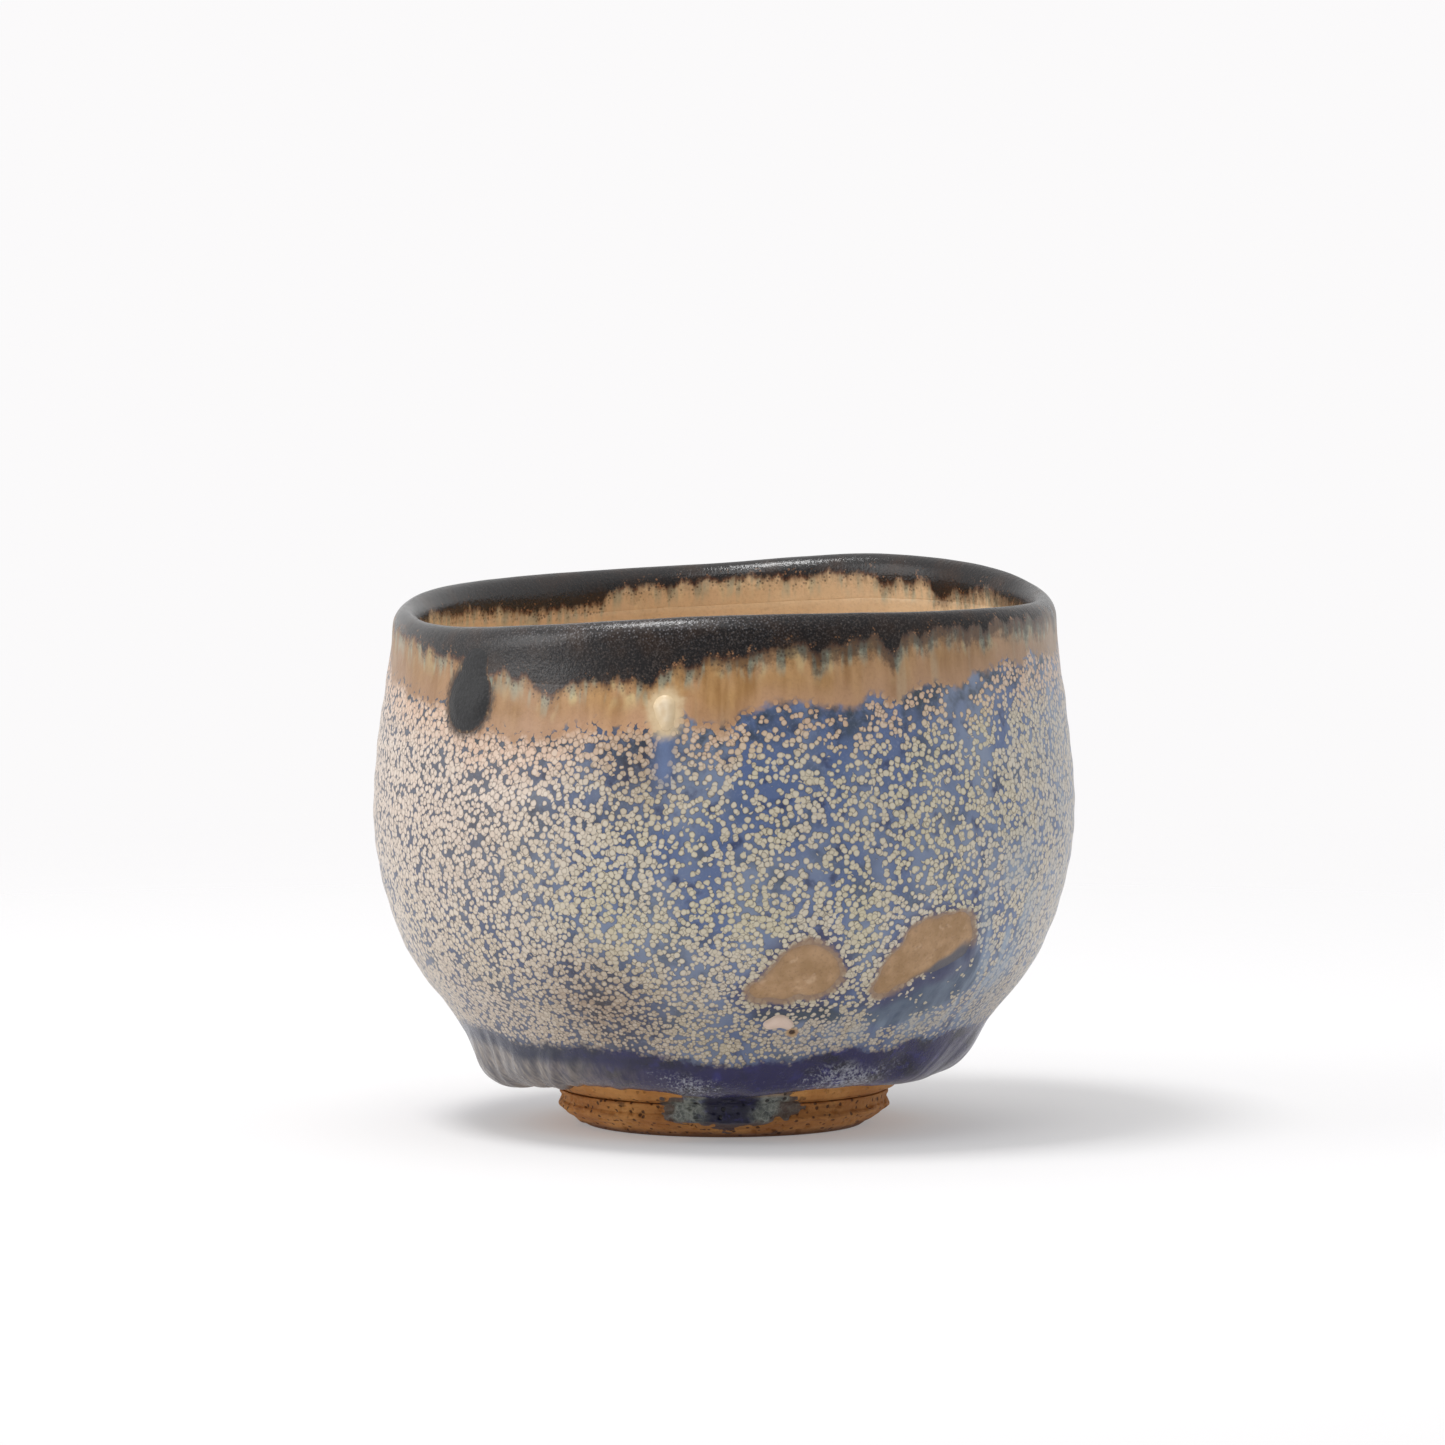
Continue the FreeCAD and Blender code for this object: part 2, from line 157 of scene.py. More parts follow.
def round_the_bowl(azimuth, distance=0.0, radius=None):
    """Points on a cylinder for noise that runs round the bowl: columns keep their width all the way down."""
    radius = RADIUS if radius is None else radius
    angle = np.radians(azimuth)
    return np.stack(np.broadcast_arrays(radius * np.sin(angle), -radius * np.cos(angle), distance), axis=-1)


def upsample(values):
    """Values at the probed azimuths (first axis), carried smoothly to all columns."""
    spectrum = np.fft.rfft(values, axis=0)
    wide = np.zeros((COLUMNS // 2 + 1,) + values.shape[1:], complex)
    wide[: spectrum.shape[0]] = spectrum
    wide[PROBES // 2] *= 0.5
    return np.fft.irfft(wide, n=COLUMNS, axis=0) * (COLUMNS / PROBES)


def periodic(azimuth, values):
    """Values known in evenly spaced columns from azimuth 0, read at any azimuth."""
    count = len(values)
    place = (np.asarray(azimuth) % TURN) / TURN * count
    low = np.floor(place).astype(int)
    share = place - low
    return values[low % count] * (1.0 - share) + values[(low + 1) % count] * share

# ------------------------------------------------------------------ reading the frame


def tree_of(*names):
    """A search tree over CAD nodes, in millimetres."""
    corners, faces = [], []
    for name in names:
        mesh = frame["nodes"][name].data
        first = len(corners)
        corners += [vertex.co / MM for vertex in mesh.vertices]
        faces += [[first + index for index in face.vertices] for face in mesh.polygons]
    return BVHTree.FromPolygons(corners, faces)


def half_plane(azimuth):
    """The outward direction at an azimuth."""
    angle = math.radians(azimuth)
    return Vector((math.sin(angle), -math.cos(angle), 0.0))


def cast(tree, outward, start, angle, reach):
    """The first hit of a ray in a half-plane, from a start (radius, height), as (radius, height) or None."""
    origin = outward * start[0] + Vector((0, 0, start[1]))
    direction = outward * math.cos(angle) + Vector((0, 0, math.sin(angle)))
    hit = tree.ray_cast(origin, direction, reach)[0]
    return None if hit is None else (hit.dot(outward), hit.z)


def crest_of(tree, outward):
    """The highest point of the rim in a half-plane."""
    down = -math.pi / 2.0
    radii = np.linspace(0.8 * RADIUS, RADIUS, 90)
    hits = [cast(tree, outward, (radius, 1.5 * HEIGHT), down, 0.8 * HEIGHT) for radius in radii]
    return max((hit for hit in hits if hit), key=lambda hit: hit[1])


def even(line, count):
    """A polyline resampled at even steps. Returns the points and its length."""
    line = np.array(line)
    steps = np.hypot(*np.diff(line, axis=0).T)
    keep = np.concatenate([[True], steps > 1e-6])
    line = line[keep]
    along = np.concatenate([[0.0], np.cumsum(np.hypot(*np.diff(line, axis=0).T))])
    places = np.linspace(0.0, along[-1], count)
    return np.stack([np.interp(places, along, line[:, axis]) for axis in (0, 1)], axis=-1), along[-1]


LIP_REACH = 3.2  # how far under the crest the fan round the lip is centred
HOLLOW_REACH = 12.0  # rays towards the inside of the lip start this far off, inside the hollow


def fan_back(tree, outward, centre, angles, far):
    """Outermost hits seen from a centre, by rays cast back towards it from a distance."""
    hits = []
    for angle in angles:
        start = (centre[0] + far * math.cos(angle), centre[1] + far * math.sin(angle))
        hits.append(cast(tree, outward, start, angle + math.pi, far))
    return [hit for hit in hits if hit]


def fan_out(tree, outward, centre, angles):
    """First hits of rays cast out from a centre."""
    hits = [cast(tree, outward, centre, angle, 2.0 * RADIUS) for angle in angles]
    return [hit for hit in hits if hit]


def probe(outer_tree, inner_tree, azimuth, below):
    """The outside and the inside profile in one half-plane, each from the crest down."""
    outward = half_plane(azimuth)
    crest = crest_of(outer_tree, outward)
    lip = (crest[0], crest[1] - LIP_REACH)
    flank = (0.45 * RADIUS, 0.55 * HEIGHT)
    bowl = (0.0, 0.85 * HEIGHT)
    far = 2.0 * RADIUS
    over = fan_back(outer_tree, outward, lip, np.radians(np.arange(84.0, -9.0, -3.0)), far)
    into = fan_back(outer_tree, outward, lip, np.radians(np.arange(96.0, 180.0, 3.0)), HOLLOW_REACH)
    outside = fan_back(outer_tree, outward, flank, np.radians(np.arange(60.0, -88.0, -RAY_STEP)), far)
    inside = fan_out(inner_tree, outward, bowl, np.radians(np.arange(30.0, -90.1, -RAY_STEP)))
    outside_line = [crest] + over + [hit for hit in outside if hit[1] < over[-1][1] and hit[0] > 0.4 * RADIUS]
    inside_line = [crest] + into + [hit for hit in inside if hit[1] < into[-1][1]]
    if below:
        outside_line = [hit for hit in outside_line if hit[0] > below[-1][0]] + below[::-1]
    return outside_line, inside_line


class Wall:
    """The wall's surface read from CAD nodes: (radius, height) by azimuth, drop and side."""

    def __init__(self, outer, inner, masked=None, underside=False):
        outer_tree, inner_tree = tree_of(*outer), tree_of(*inner)
        self.lines = {}
        self.lengths = {}
        probed = {"outside": [], "inside": []}
        for azimuth in even_turns(PROBES):
            below = self.under(outer_tree, azimuth) if underside else None
            outside, inside = probe(outer_tree, inner_tree, azimuth, below)
            probed["outside"].append(even(outside, SAMPLES))
            probed["inside"].append(even(inside, SAMPLES))
        for side, rows in probed.items():
            points = np.array([row[0] for row in rows])
            lengths = np.array([row[1] for row in rows])
            if masked and side == "outside":
                points = self.bridge(points, masked)
            self.lines[side] = self.unrolled(self.softened(upsample(points)))
            self.lengths[side] = upsample(lengths)

    @staticmethod
    def under(tree, azimuth):
        """The underside from the axis outwards, by rays from below."""
        outward = half_plane(azimuth)
        radii = np.linspace(0.0, 0.62 * RADIUS, 90)
        hits = [cast(tree, outward, (radius, -HEIGHT), math.pi / 2.0, 2.0 * HEIGHT) for radius in radii]
        return [hit for hit in hits if hit]

    @staticmethod
    def bridge(points, masked):
        """Fills masked columns and heights from their neighbours on each side."""
        azimuths = even_turns(PROBES)
        hidden = masked(azimuths[:, None], points[..., 1])
        for row in np.nonzero(hidden.any(axis=0))[0]:
            known = np.nonzero(~hidden[:, row])[0]
            for axis in (0, 1):
                values = points[known, row, axis]
                points[:, row, axis] = np.interp(azimuths, azimuths[known], values, period=TURN)
        return points

    @staticmethod
    def softened(points):
        """Takes the facets out of the profiles."""
        kernel = bump_at(np.arange(-12, 13), 0.0, 5.0)
        kernel /= kernel.sum()
        reach = len(kernel) // 2
        before = 2.0 * points[:, :1] - points[:, reach:0:-1]
        after = 2.0 * points[:, -1:] - points[:, -2 : -reach - 2 : -1]
        padded = np.concatenate([before, points, after], axis=1)
        rows = points.shape[1]
        return sum(weight * padded[:, index : index + rows] for index, weight in enumerate(kernel))

    @staticmethod
    def unrolled(points):
        """Adds each point's distance down a sheet on which the wall is unrolled with its shapes kept."""
        steps = np.hypot(*np.moveaxis(np.diff(points, axis=1), -1, 0))
        radii = np.maximum((points[:, 1:, 0] + points[:, :-1, 0]) / 2.0, 1.0)
        down = np.cumsum(RADIUS * steps / radii, axis=1)
        down = np.concatenate([np.zeros((len(points), 1)), down], axis=1)
        return np.concatenate([points, down[..., None]], axis=-1)

    def length(self, azimuth, side="outside"):
        return periodic(azimuth, self.lengths[side])

    def at(self, azimuth, drop, side="outside"):
        """Radius and height at an azimuth and drop."""
        azimuth, drop = np.broadcast_arrays(np.asarray(azimuth, float), np.asarray(drop, float))
        line = self.lines[side]
        row = np.clip(drop / self.length(azimuth, side), 0.0, 1.0) * (SAMPLES - 1)
        row_low = np.minimum(np.floor(row).astype(int), SAMPLES - 2)
        row_share = (row - row_low)[..., None]
        place = (azimuth % TURN) / TURN * COLUMNS
        column_low = np.floor(place).astype(int)
        column_share = (place - column_low)[..., None]
        found = 0.0
        for column, column_weight in ((column_low, 1.0 - column_share), (column_low + 1, column_share)):
            column = column % COLUMNS
            found = found + column_weight * (
                line[column, row_low] * (1.0 - row_share) + line[column, row_low + 1] * row_share
            )
        return found

    def drop_at(self, azimuth, height):
        """The drop at which the outside reaches a height, above its lowest turn."""
        azimuth, height = np.broadcast_arrays(np.asarray(azimuth, float), np.asarray(height, float))
        found = np.empty(azimuth.shape)
        columns = np.round((azimuth % TURN) / TURN * COLUMNS).astype(int) % COLUMNS
        for column in np.unique(columns):
            chosen = columns == column
            heights = self.lines["outside"][column, :, 1]
            low = int(np.argmin(heights))
            rows = np.interp(-height[chosen], -heights[: low + 1], np.arange(low + 1))
            found[chosen] = rows / (SAMPLES - 1) * self.lengths["outside"][column]
        return found

    def frame_at(self, azimuth, drop, step=0.15):
        """Points and outward normals of the outside at an azimuth and drop."""
        azimuth, drop = np.broadcast_arrays(np.asarray(azimuth, float), np.asarray(drop, float))
        turn = np.degrees(step / RADIUS)

        def place(azimuth, drop):
            return to_space(azimuth, self.at(azimuth, drop))

        down = place(azimuth, drop + step) - place(azimuth, np.maximum(drop - step, 0.0))
        round_it = place(azimuth + turn, drop) - place(azimuth - turn, drop)
        return place(azimuth, drop), unit(np.cross(down, round_it))


def unit(vectors):
    return vectors / np.maximum(np.linalg.norm(vectors, axis=-1, keepdims=True), 1e-9)


def to_space(azimuth, profile):
    """Points in space from azimuths and (radius, height) pairs."""
    angle = np.radians(azimuth)
    radius, height = profile[..., 0], profile[..., 1]
    return np.stack([radius * np.sin(angle), -radius * np.cos(angle), height], axis=-1)


def azimuth_span(node):
    """Middle azimuth and half width of a small node at the front."""
    low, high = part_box(node)
    corners = [(x, y) for x in (low.x, high.x) for y in (low.y, high.y)]
    turns = [math.degrees(math.atan2(x, -y)) for x, y in corners]
    return (min(turns) + max(turns)) / 2.0, (max(turns) - min(turns)) / 2.0


WINDOW_MARGIN_TURN = 5.0
WINDOW_MARGIN_HEIGHT = 3.0


def in_finger_window(azimuth, height):
    """Whether a point of the wall is in or beside a finger mark, where the coat is cut away."""
    inside = False
    for node in ("finger_mark_left", "finger_mark_right"):
        centre, reach = azimuth_span(node)
        low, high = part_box(node)
        near = np.abs(turn_from(azimuth, centre)) < reach + WINDOW_MARGIN_TURN
        level = (height > low.z / MM - WINDOW_MARGIN_HEIGHT) & (height < high.z / MM + WINDOW_MARGIN_HEIGHT)
        inside = inside | (near & level)
    return inside


skin = Wall(("outer_glaze", "glaze_roll", "rim_glaze"), ("inner_glaze", "rim_glaze"), masked=in_finger_window)
clay = Wall(("clay_bowl",), ("clay_bowl",), underside=True)

# ------------------------------------------------------------------ lines on the wall, read from the nodes

TOUCHING = 0.12  # a point of the skin this near to a node's faces is on that node
LINE_STEP = 0.25


def edge_of(node, side, reach, first):
    """The drop, in COLUMNS even columns, at which a coat's node starts or stops between two drops."""
    tree = tree_of(node)
    drops = np.arange(*reach, LINE_STEP)
    edge = []
    for azimuth in even_turns(PROBES):
        points = to_space(np.full(drops.shape, azimuth), skin.at(azimuth, drops, side))
        held = [drop for drop, point in zip(drops, points) if tree.find_nearest(Vector(point))[3] < TOUCHING]
        edge.append((min if first else max)(held))
    edge = np.array(edge)
    edge = (np.roll(edge, 1) + 2.0 * edge + np.roll(edge, -1)) / 4.0
    return upsample(edge)


RIM_LINE = edge_of("rim_glaze", "outside", (1.0, 25.0), first=False)
RIM_LINE_INSIDE = edge_of("rim_glaze", "inside", (1.0, 20.0), first=False)
ROLL_LINE = edge_of("glaze_roll", "outside", (50.0, 88.0), first=True)


def node_middle(node, low_share=0.5):
    """Azimuth and height of a small front node's middle, or of another share of its height, from its box."""
    low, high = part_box(node)
    azimuth = azimuth_span(node)[0]
    return azimuth, (low.z + (high.z - low.z) * low_share) / MM


def noise_round(azimuth, cell, seed, octaves=1, drop=0.0):
    """Noise that depends on the azimuth and, if wanted, on the drop, with its cells in millimetres."""
    return noise(round_the_bowl(azimuth, drop), cell, seed, octaves)


def black_line(azimuth):
    """Drop of the fingered lower edge of the black rim glaze, outside."""
    fingers = 0.55 * noise_round(azimuth, 8.0, 3) + 0.55 * noise_round(azimuth, 2.6, 4)
    drips = 1.9 * np.maximum(noise_round(azimuth, 4.2, 5) - 0.25, 0.0)
    return periodic(azimuth, RIM_LINE) - 0.4 + fingers + drips


def black_line_inside(azimuth):
    fingers = 0.7 * noise_round(azimuth, 9.0, 13) + 0.4 * noise_round(azimuth, 2.8, 14)
    drips = 1.3 * np.maximum(noise_round(azimuth, 4.6, 15) - 0.3, 0.0)
    thin = 2.7 * bump_at(turn_from(azimuth, 168.0), 0.0, 34.0)
    return periodic(azimuth, RIM_LINE_INSIDE) - 1.2 - thin + fingers + drips


TAN_WIDTH_SIDES = 6.2
TAN_WIDTH_FRONT = 9.4
TAN_FRONT_SPREAD = 52.0


def tan_line(azimuth):
    """Drop of the lower edge of the ochre band under the black."""
    front = bump_at(turn_from(azimuth, 0.0), 0.0, TAN_FRONT_SPREAD)
    width = TAN_WIDTH_SIDES + (TAN_WIDTH_FRONT - TAN_WIDTH_SIDES) * front
    width = width - 2.2 * bump_at(turn_from(azimuth, -9.0), 0.0, 9.0)
    waves = 0.9 * noise_round(azimuth, 11.0, 23) + 0.7 * noise_round(azimuth, 3.6, 24)
    return periodic(azimuth, RIM_LINE) + width + waves


def cobalt_line(azimuth):
    """Drop of the upper edge of the cobalt gathered in the roll."""
    waves = 0.7 * noise_round(azimuth, 12.0, 33) + 0.4 * noise_round(azimuth, 4.0, 34)
    return periodic(azimuth, ROLL_LINE) + waves

# ------------------------------------------------------------------ flat patches of the wall round a feature


class Patch:
    """A flat map of the wall round a point: u is to the right and v is down the wall, in millimetres."""

    def __init__(self, azimuth, height):
        self.azimuth = azimuth
        self.drop = float(skin.drop_at(azimuth, height))
        self.radius = float(skin.at(azimuth, self.drop)[..., 0])

    def plane(self, azimuth, drop):
        radius = skin.at(azimuth, np.clip(drop, 0.0, None))[..., 0]
        return np.radians(turn_from(azimuth, self.azimuth)) * radius, drop - self.drop

    def wall(self, u, v):
        drop = self.drop + v
        radius = skin.at(self.azimuth, drop)[..., 0]
        return self.azimuth + np.degrees(u / radius), drop


def strand(u, v, points):
    """Signed distance to a strand through (u, v, radius) points: negative inside."""
    best = np.full(np.shape(u), 1e3)
    for (u0, v0, r0), (u1, v1, r1) in zip(points[:-1], points[1:]):
        du, dv = u1 - u0, v1 - v0
        share = np.clip(((u - u0) * du + (v - v0) * dv) / (du * du + dv * dv), 0.0, 1.0)
        distance = np.hypot(u - u0 - du * share, v - v0 - dv * share) - (r0 + (r1 - r0) * share)
        best = np.minimum(best, distance)
    return best


# Outlines on these patches are strands of circles (u, v, radius). The pool and the dusk are darker glaze
# beside the right and the left finger mark.
LEFT_MARK = Patch(*node_middle("finger_mark_left"))
RIGHT_MARK = Patch(*node_middle("finger_mark_right"))
RUN = Patch(*node_middle("rim_run", 0.3))
LEFT_MARK_SHAPE = ((-5.6, 3.4, 2.4), (-2.4, 1.8, 3.9), (1.0, -1.0, 5.2), (2.4, 0.2, 4.8))
RIGHT_MARK_SHAPE = ((-7.0, 5.8, 2.5), (-5.0, 2.6, 4.0), (-0.8, -1.0, 5.3), (3.9, -2.0, 5.2))
DUSK_SHAPE = ((-4.5, 7.8, 1.9), (3.5, 7.6, 2.4), (7.0, 9.5, 1.8))
RIGHT_POOL_SHAPE = ((-4.5, 12.4, 3.4), (1.6, 8.8, 5.8), (7.6, 4.4, 5.4))
RUN_SHAPE = ((1.0, -12.0, 4.6), (0.6, -7.4, 3.0), (0.0, -4.6, 3.6), (-0.4, -1.2, 5.2), (-0.4, -0.2, 5.3))
BEAD = Patch(azimuth=-9.8, height=71.8)
BLISTER = Patch(azimuth=10.7, height=21.5)
PINHOLE = Patch(azimuth=14.0, height=19.6)
BEAD_SHAPE = ((-0.1, -1.3, 1.9), (0.1, 0.0, 1.7), (0.3, 1.6, 1.2))
BLISTER_SHAPE = ((-1.2, 0.5, 1.3), (0.2, -0.3, 1.7), (1.5, 0.4, 1.2))


def mark_distance(azimuth, drop):
    """Signed distance to the nearer finger mark's edge, a little uneven."""
    left = strand(*LEFT_MARK.plane(azimuth, drop), LEFT_MARK_SHAPE)
    right = strand(*RIGHT_MARK.plane(azimuth, drop), RIGHT_MARK_SHAPE)
    return np.minimum(left, right) + 0.35 * noise_round(azimuth, 2.4, 41, drop=drop)

# ------------------------------------------------------------------ relief of the glaze


def relief(azimuth, drop, points):
    """Height of the fired surface above the frame's skin, in millimetres."""
    drop_out = np.maximum(drop, 0.0)
    height = points[..., 2]
    calm = 1.0 - 0.75 * bump_at(drop, 0.0, 5.0)
    slow = (0.13 * noise(points, 17.0, 51) + 0.05 * noise(points, 5.0, 52)) * calm
    rings = 0.05 * np.sin(height * 1.15 + 1.4 * noise(points, 30.0, 53) + np.radians(azimuth))
    rings *= smooth_step(drop, 6.0, 14.0) - smooth_step(drop, 66.0, 74.0)
    lip = 0.04 * noise_round(azimuth, 9.0, 54) * bump_at(drop, 0.0, 3.0)
    into_roll = drop_out - cobalt_line(azimuth)
    roll = 0.32 * noise(points, 7.5, 55) * smooth_step(into_roll, 0.0, 6.0)
    folds = 0.22 * noise_round(azimuth + 0.8 * drop_out, 2.6, 56) * smooth_step(into_roll, -1.0, 4.0)
    folds *= bump_at(turn_from(azimuth, -56.0), 0.0, 22.0) + 0.25
    ring = 0.10 * bump_at(mark_distance(azimuth, drop_out), 0.7, 0.8)
    from_pin = np.hypot(*PINHOLE.plane(azimuth, drop_out))
    pin = 0.10 * bump_at(from_pin, 0.9, 0.5) - 0.35 * bump_at(from_pin, 0.0, 0.42)
    outside = np.where(drop > 0.0, 1.0, 0.0)
    return slow + rings + lip + outside * (roll + folds + ring + pin)

# ------------------------------------------------------------------ fields for the materials


def fields(azimuth, drop, points):
    """What the materials need to know at each vertex: distances into zones, and shares from 0 to 1."""
    out = np.maximum(drop, 0.0)
    inside = drop < 0.0
    turn = turn_from(azimuth, 0.0)
    height = points[..., 2]
    black = np.where(inside, black_line_inside(azimuth) + drop, black_line(azimuth) - out)
    tan = np.where(inside, FAR, tan_line(azimuth) - out)
    below = -tan
    into_roll = out - cobalt_line(azimuth)
    marks = np.where(inside, FAR, mark_distance(azimuth, out))
    run = strand(*RUN.plane(azimuth, out), RUN_SHAPE)
    pool = strand(*RIGHT_MARK.plane(azimuth, out), RIGHT_POOL_SHAPE)
    pool = pool + 0.5 * noise_round(azimuth, 3.0, 42, drop=out)
    dusk = strand(*LEFT_MARK.plane(azimuth, out), DUSK_SHAPE)
    to_back = 1.0 - smooth_step(np.abs(turn), 100.0, 165.0)
    back = 1.0 - to_back
    left = smooth_step(-turn, 6.0, 52.0) * to_back
    far_right = smooth_step(turn, 42.0, 78.0) * to_back
    low_warmth = 0.5 * bump_at(below, 0.0, 12.0) * left - 0.35 * smooth_step(height, 60.0, 30.0)
    haze = 0.45 * smooth_step(turn, 30.0, 72.0) * to_back * bump_at(height, 44.0, 26.0)
    haze = haze + bump_at(turn, 56.0, 9.0) * bump_at(height, 30.0, 13.0)
    haze = haze + 0.7 * bump_at(height, 19.5, 2.4) * bump_at(turn, 36.0, 16.0)
    frost = bump_at(turn, 31.0, 13.0) + 0.8 * bump_at(turn, -8.0, 10.0) + 0.5 * bump_at(turn, 150.0, 30.0)
    lobe = 1.25 * bump_at(turn, -62.0, 30.0) + 0.7 * bump_at(turn, 120.0, 30.0)
    earth = bump_at(turn, -24.0, 12.0) * bump_at(height, 23.0, 9.0)
    earth = earth + 0.6 * bump_at(turn, -14.0, 7.0) * bump_at(below, 6.0, 8.0)
    # where the black near the crest gets painted highlight specks: mostly on the front, a little to the left
    sheen = bump_at(turn, -14.0, 20.0) * bump_at(out, 1.4, 1.9)
    sheen = (sheen + 0.25 * bump_at(turn, -8.0, 45.0) * bump_at(out, 3.5, 3.0)) * smooth_step(drop, 0.0, 0.6)
    past_bead = out - BEAD.drop
    trail = bump_at(BEAD.plane(azimuth, out)[0], 0.0, 1.6)
    trail = trail * smooth_step(past_bead, 2.0, 4.0) * smooth_step(past_bead, 14.0, 9.0)

    # how much of the wall is covered by dots
    cover = 0.56 + 0.22 * left + 0.14 * far_right + 0.10 * back
    cover = cover + 0.13 * noise_round(azimuth, 10.0, 61, 2, drop=0.55 * out) + 0.10 * noise(points, 4.2, 62)
    cover = cover + 0.07 * smooth_step(height, 48.0, 26.0) * bump_at(turn, -5.0, 50.0)
    cover = cover - 0.24 * bump_at(turn, 26.0, 40.0) * bump_at(below, 0.0, 9.0)
    cover = cover + 0.34 * bump_at(turn, -42.0, 34.0) * bump_at(below, 0.0, 4.5)
    cover = cover - 0.5 * smooth_step(-pool, -1.0, 1.6) - 0.24 * smooth_step(-dusk, -1.0, 1.5)
    cover = cover - 0.3 * smooth_step(into_roll, -3.5, 0.5) * (1.0 - 0.6 * left)
    cover = cover - 0.26 * bump_at(turn, -25.0, 8.0) * bump_at(height, 24.0, 6.5)
    for distance, spread, share in ((0.2, 0.5, -0.12), (1.1, 0.5, 0.16), (2.2, 0.7, -0.14)):
        cover = cover + share * bump_at(marks, distance, spread)
    return {
        "sheet_front": np.radians(turn) * RADIUS,
        "sheet_back": np.radians(turn_from(azimuth, TURN / 2.0)) * RADIUS,
        "sheet_down": np.where(inside, drop, skin.at(azimuth, out)[..., 2]),
        "behind": np.radians(np.abs(turn) - 145.0) * RADIUS,
        "along": drop,
        "inside": np.where(inside, 1.0, 0.0),
        "black": black,
        "tan": tan,
        "cobalt": np.where(inside, -FAR, into_roll),
        "mark": marks,
        "pool": -pool,
        "dusk": -dusk,
        "run": -run,
        "bead": -strand(*BEAD.plane(azimuth, out), BEAD_SHAPE),
        "pin": np.hypot(*PINHOLE.plane(azimuth, out)),
        "cover": np.clip(cover - 0.6 * trail, 0.04, 0.97),
        "warm": np.clip(left + low_warmth, 0.0, 1.0),
        # painted shade: how far a place is on the right, and less so at the back
        "side": far_right + back * 0.3,
        # painted shade: how much the dots and the ground are darkened low on the wall, 0 above 38 mm and 1
        # below 18 mm
        "low": smooth_step(height, 38.0, 18.0),
        "haze": haze,
        "frost": frost,
        "lobe": np.clip(lobe, 0.0, 1.0),
        "trail": trail,
        "earth": earth,
        "front": bump_at(turn, 0.0, 62.0),
        "sheen": sheen,
        "right": smooth_step(turn, -30.0, 25.0) * to_back,
    }

# ------------------------------------------------------------------ meshes

FLOW_RADIUS = 55.0  # of the cylinder on which streaks are drawn
CLAY_SIDE_ROWS = 14  # rows on a coat's hidden side
TUCK = 0.55  # how deep a coat's end is sunk under its neighbour
TUCK_REACH = 1.6  # over what length
UV_GAP = 0.004


def add_mesh(piece, vertices, faces, values, uvs=None):
    """Adds a piece, (name, CAD node, material slot, material), as a mesh with its fields and UVs. The
    material slot's name is not used.
    """
    name, node, slot_name, material = piece
    mesh = bpy.data.meshes.new(name)
    mesh.from_pydata((vertices * MM).tolist(), [], faces)
    mesh.polygons.foreach_set("use_smooth", np.ones(len(mesh.polygons), bool))
    for key, field in values.items():
        field = np.asarray(field, np.float32)
        kind, target = ("FLOAT", "value") if field.ndim == 1 else ("FLOAT_VECTOR", "vector")
        mesh.attributes.new(key, kind, "POINT").data.foreach_set(target, field.ravel())
    if uvs is not None:
        layer = mesh.uv_layers.new(name="OFBake")
        layer.data.foreach_set("uv", np.asarray(uvs, np.float32).ravel())
    mesh.validate()
    mesh.update()
    mesh.materials.append(material)
    item = bpy.data.objects.new(name, mesh)
    bpy.context.scene.collection.objects.link(item)
    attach(item, "root")
    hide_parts(node)


def add_glaze(piece, vertices, faces, azimuth, drop, uvs=None):
    """Adds a piece of glaze, with the fields for its materials at its vertices' azimuths and drops."""
    values = fields(azimuth, drop, vertices)
    values["flow"] = round_the_bowl(azimuth, drop, FLOW_RADIUS)
    add_mesh(piece, vertices, faces, values, uvs)


def grid_normals(points):
    """Unit normals of a grid of points that closes round its first axis."""
    round_it = np.roll(points, -1, axis=0) - np.roll(points, 1, axis=0)
    down = np.empty_like(points)
    down[:, 1:-1] = points[:, 2:] - points[:, :-2]
    down[:, 0] = points[:, 1] - points[:, 0]
    down[:, -1] = points[:, -1] - points[:, -2]
    return unit(np.cross(down, round_it))


def wall_points(azimuth, drop):
    """Points of the skin at signed drops: down the outside if positive, down the inside if negative."""
    outside = skin.at(azimuth, np.maximum(drop, 0.0), "outside")
    inside = skin.at(azimuth, np.maximum(-drop, 0.0), "inside")
    return to_space(azimuth, np.where((drop < 0.0)[..., None], inside, outside))


def ring_faces(columns, rows, closed):
    """Quads of a grid that closes round its columns and, if asked, round its rows."""
    column = np.arange(columns)[:, None]
    row = np.arange(rows if closed else rows - 1)[None, :]
    after = (column + 1) % columns
    below = (row + 1) % rows
    corners = (column * rows + row, column * rows + below, after * rows + below, after * rows + row)
    return np.stack(corners, axis=-1).reshape(-1, 4)


def fan(columns, rows, row, pole):
    """Triangles between a row of a closed grid and a pole."""
    corner = np.arange(columns) * rows + row
    return np.stack([corner, np.roll(corner, -1), np.full(columns, pole)], axis=-1)


def capped_faces(columns, rows, flipped=False):
    """Faces of a closed grid with a pole at each end. The poles are the two vertices after the grid's own."""
    count = columns * rows
    quads = ring_faces(columns, rows, False)
    start = fan(columns, rows, 0, count)
    end = fan(columns, rows, rows - 1, count + 1)[:, [1, 0, 2]]
    if flipped:
        quads, start, end = quads[:, ::-1], start[:, [1, 0, 2]], end[:, [1, 0, 2]]
    return quads.tolist() + start.tolist() + end.tolist()


def turn_uv(columns, column, step, share):
    """UV of a place on a coat. The front half is laid over the back half, so that the map is near square."""
    half = columns // 2
    u = UV_GAP + (column % half + step) / half * (1.0 - 2.0 * UV_GAP)
    v = (column // half + UV_GAP + share * (1.0 - 2.0 * UV_GAP)) * 0.5
    return np.stack(np.broadcast_arrays(u, v), axis=-1)


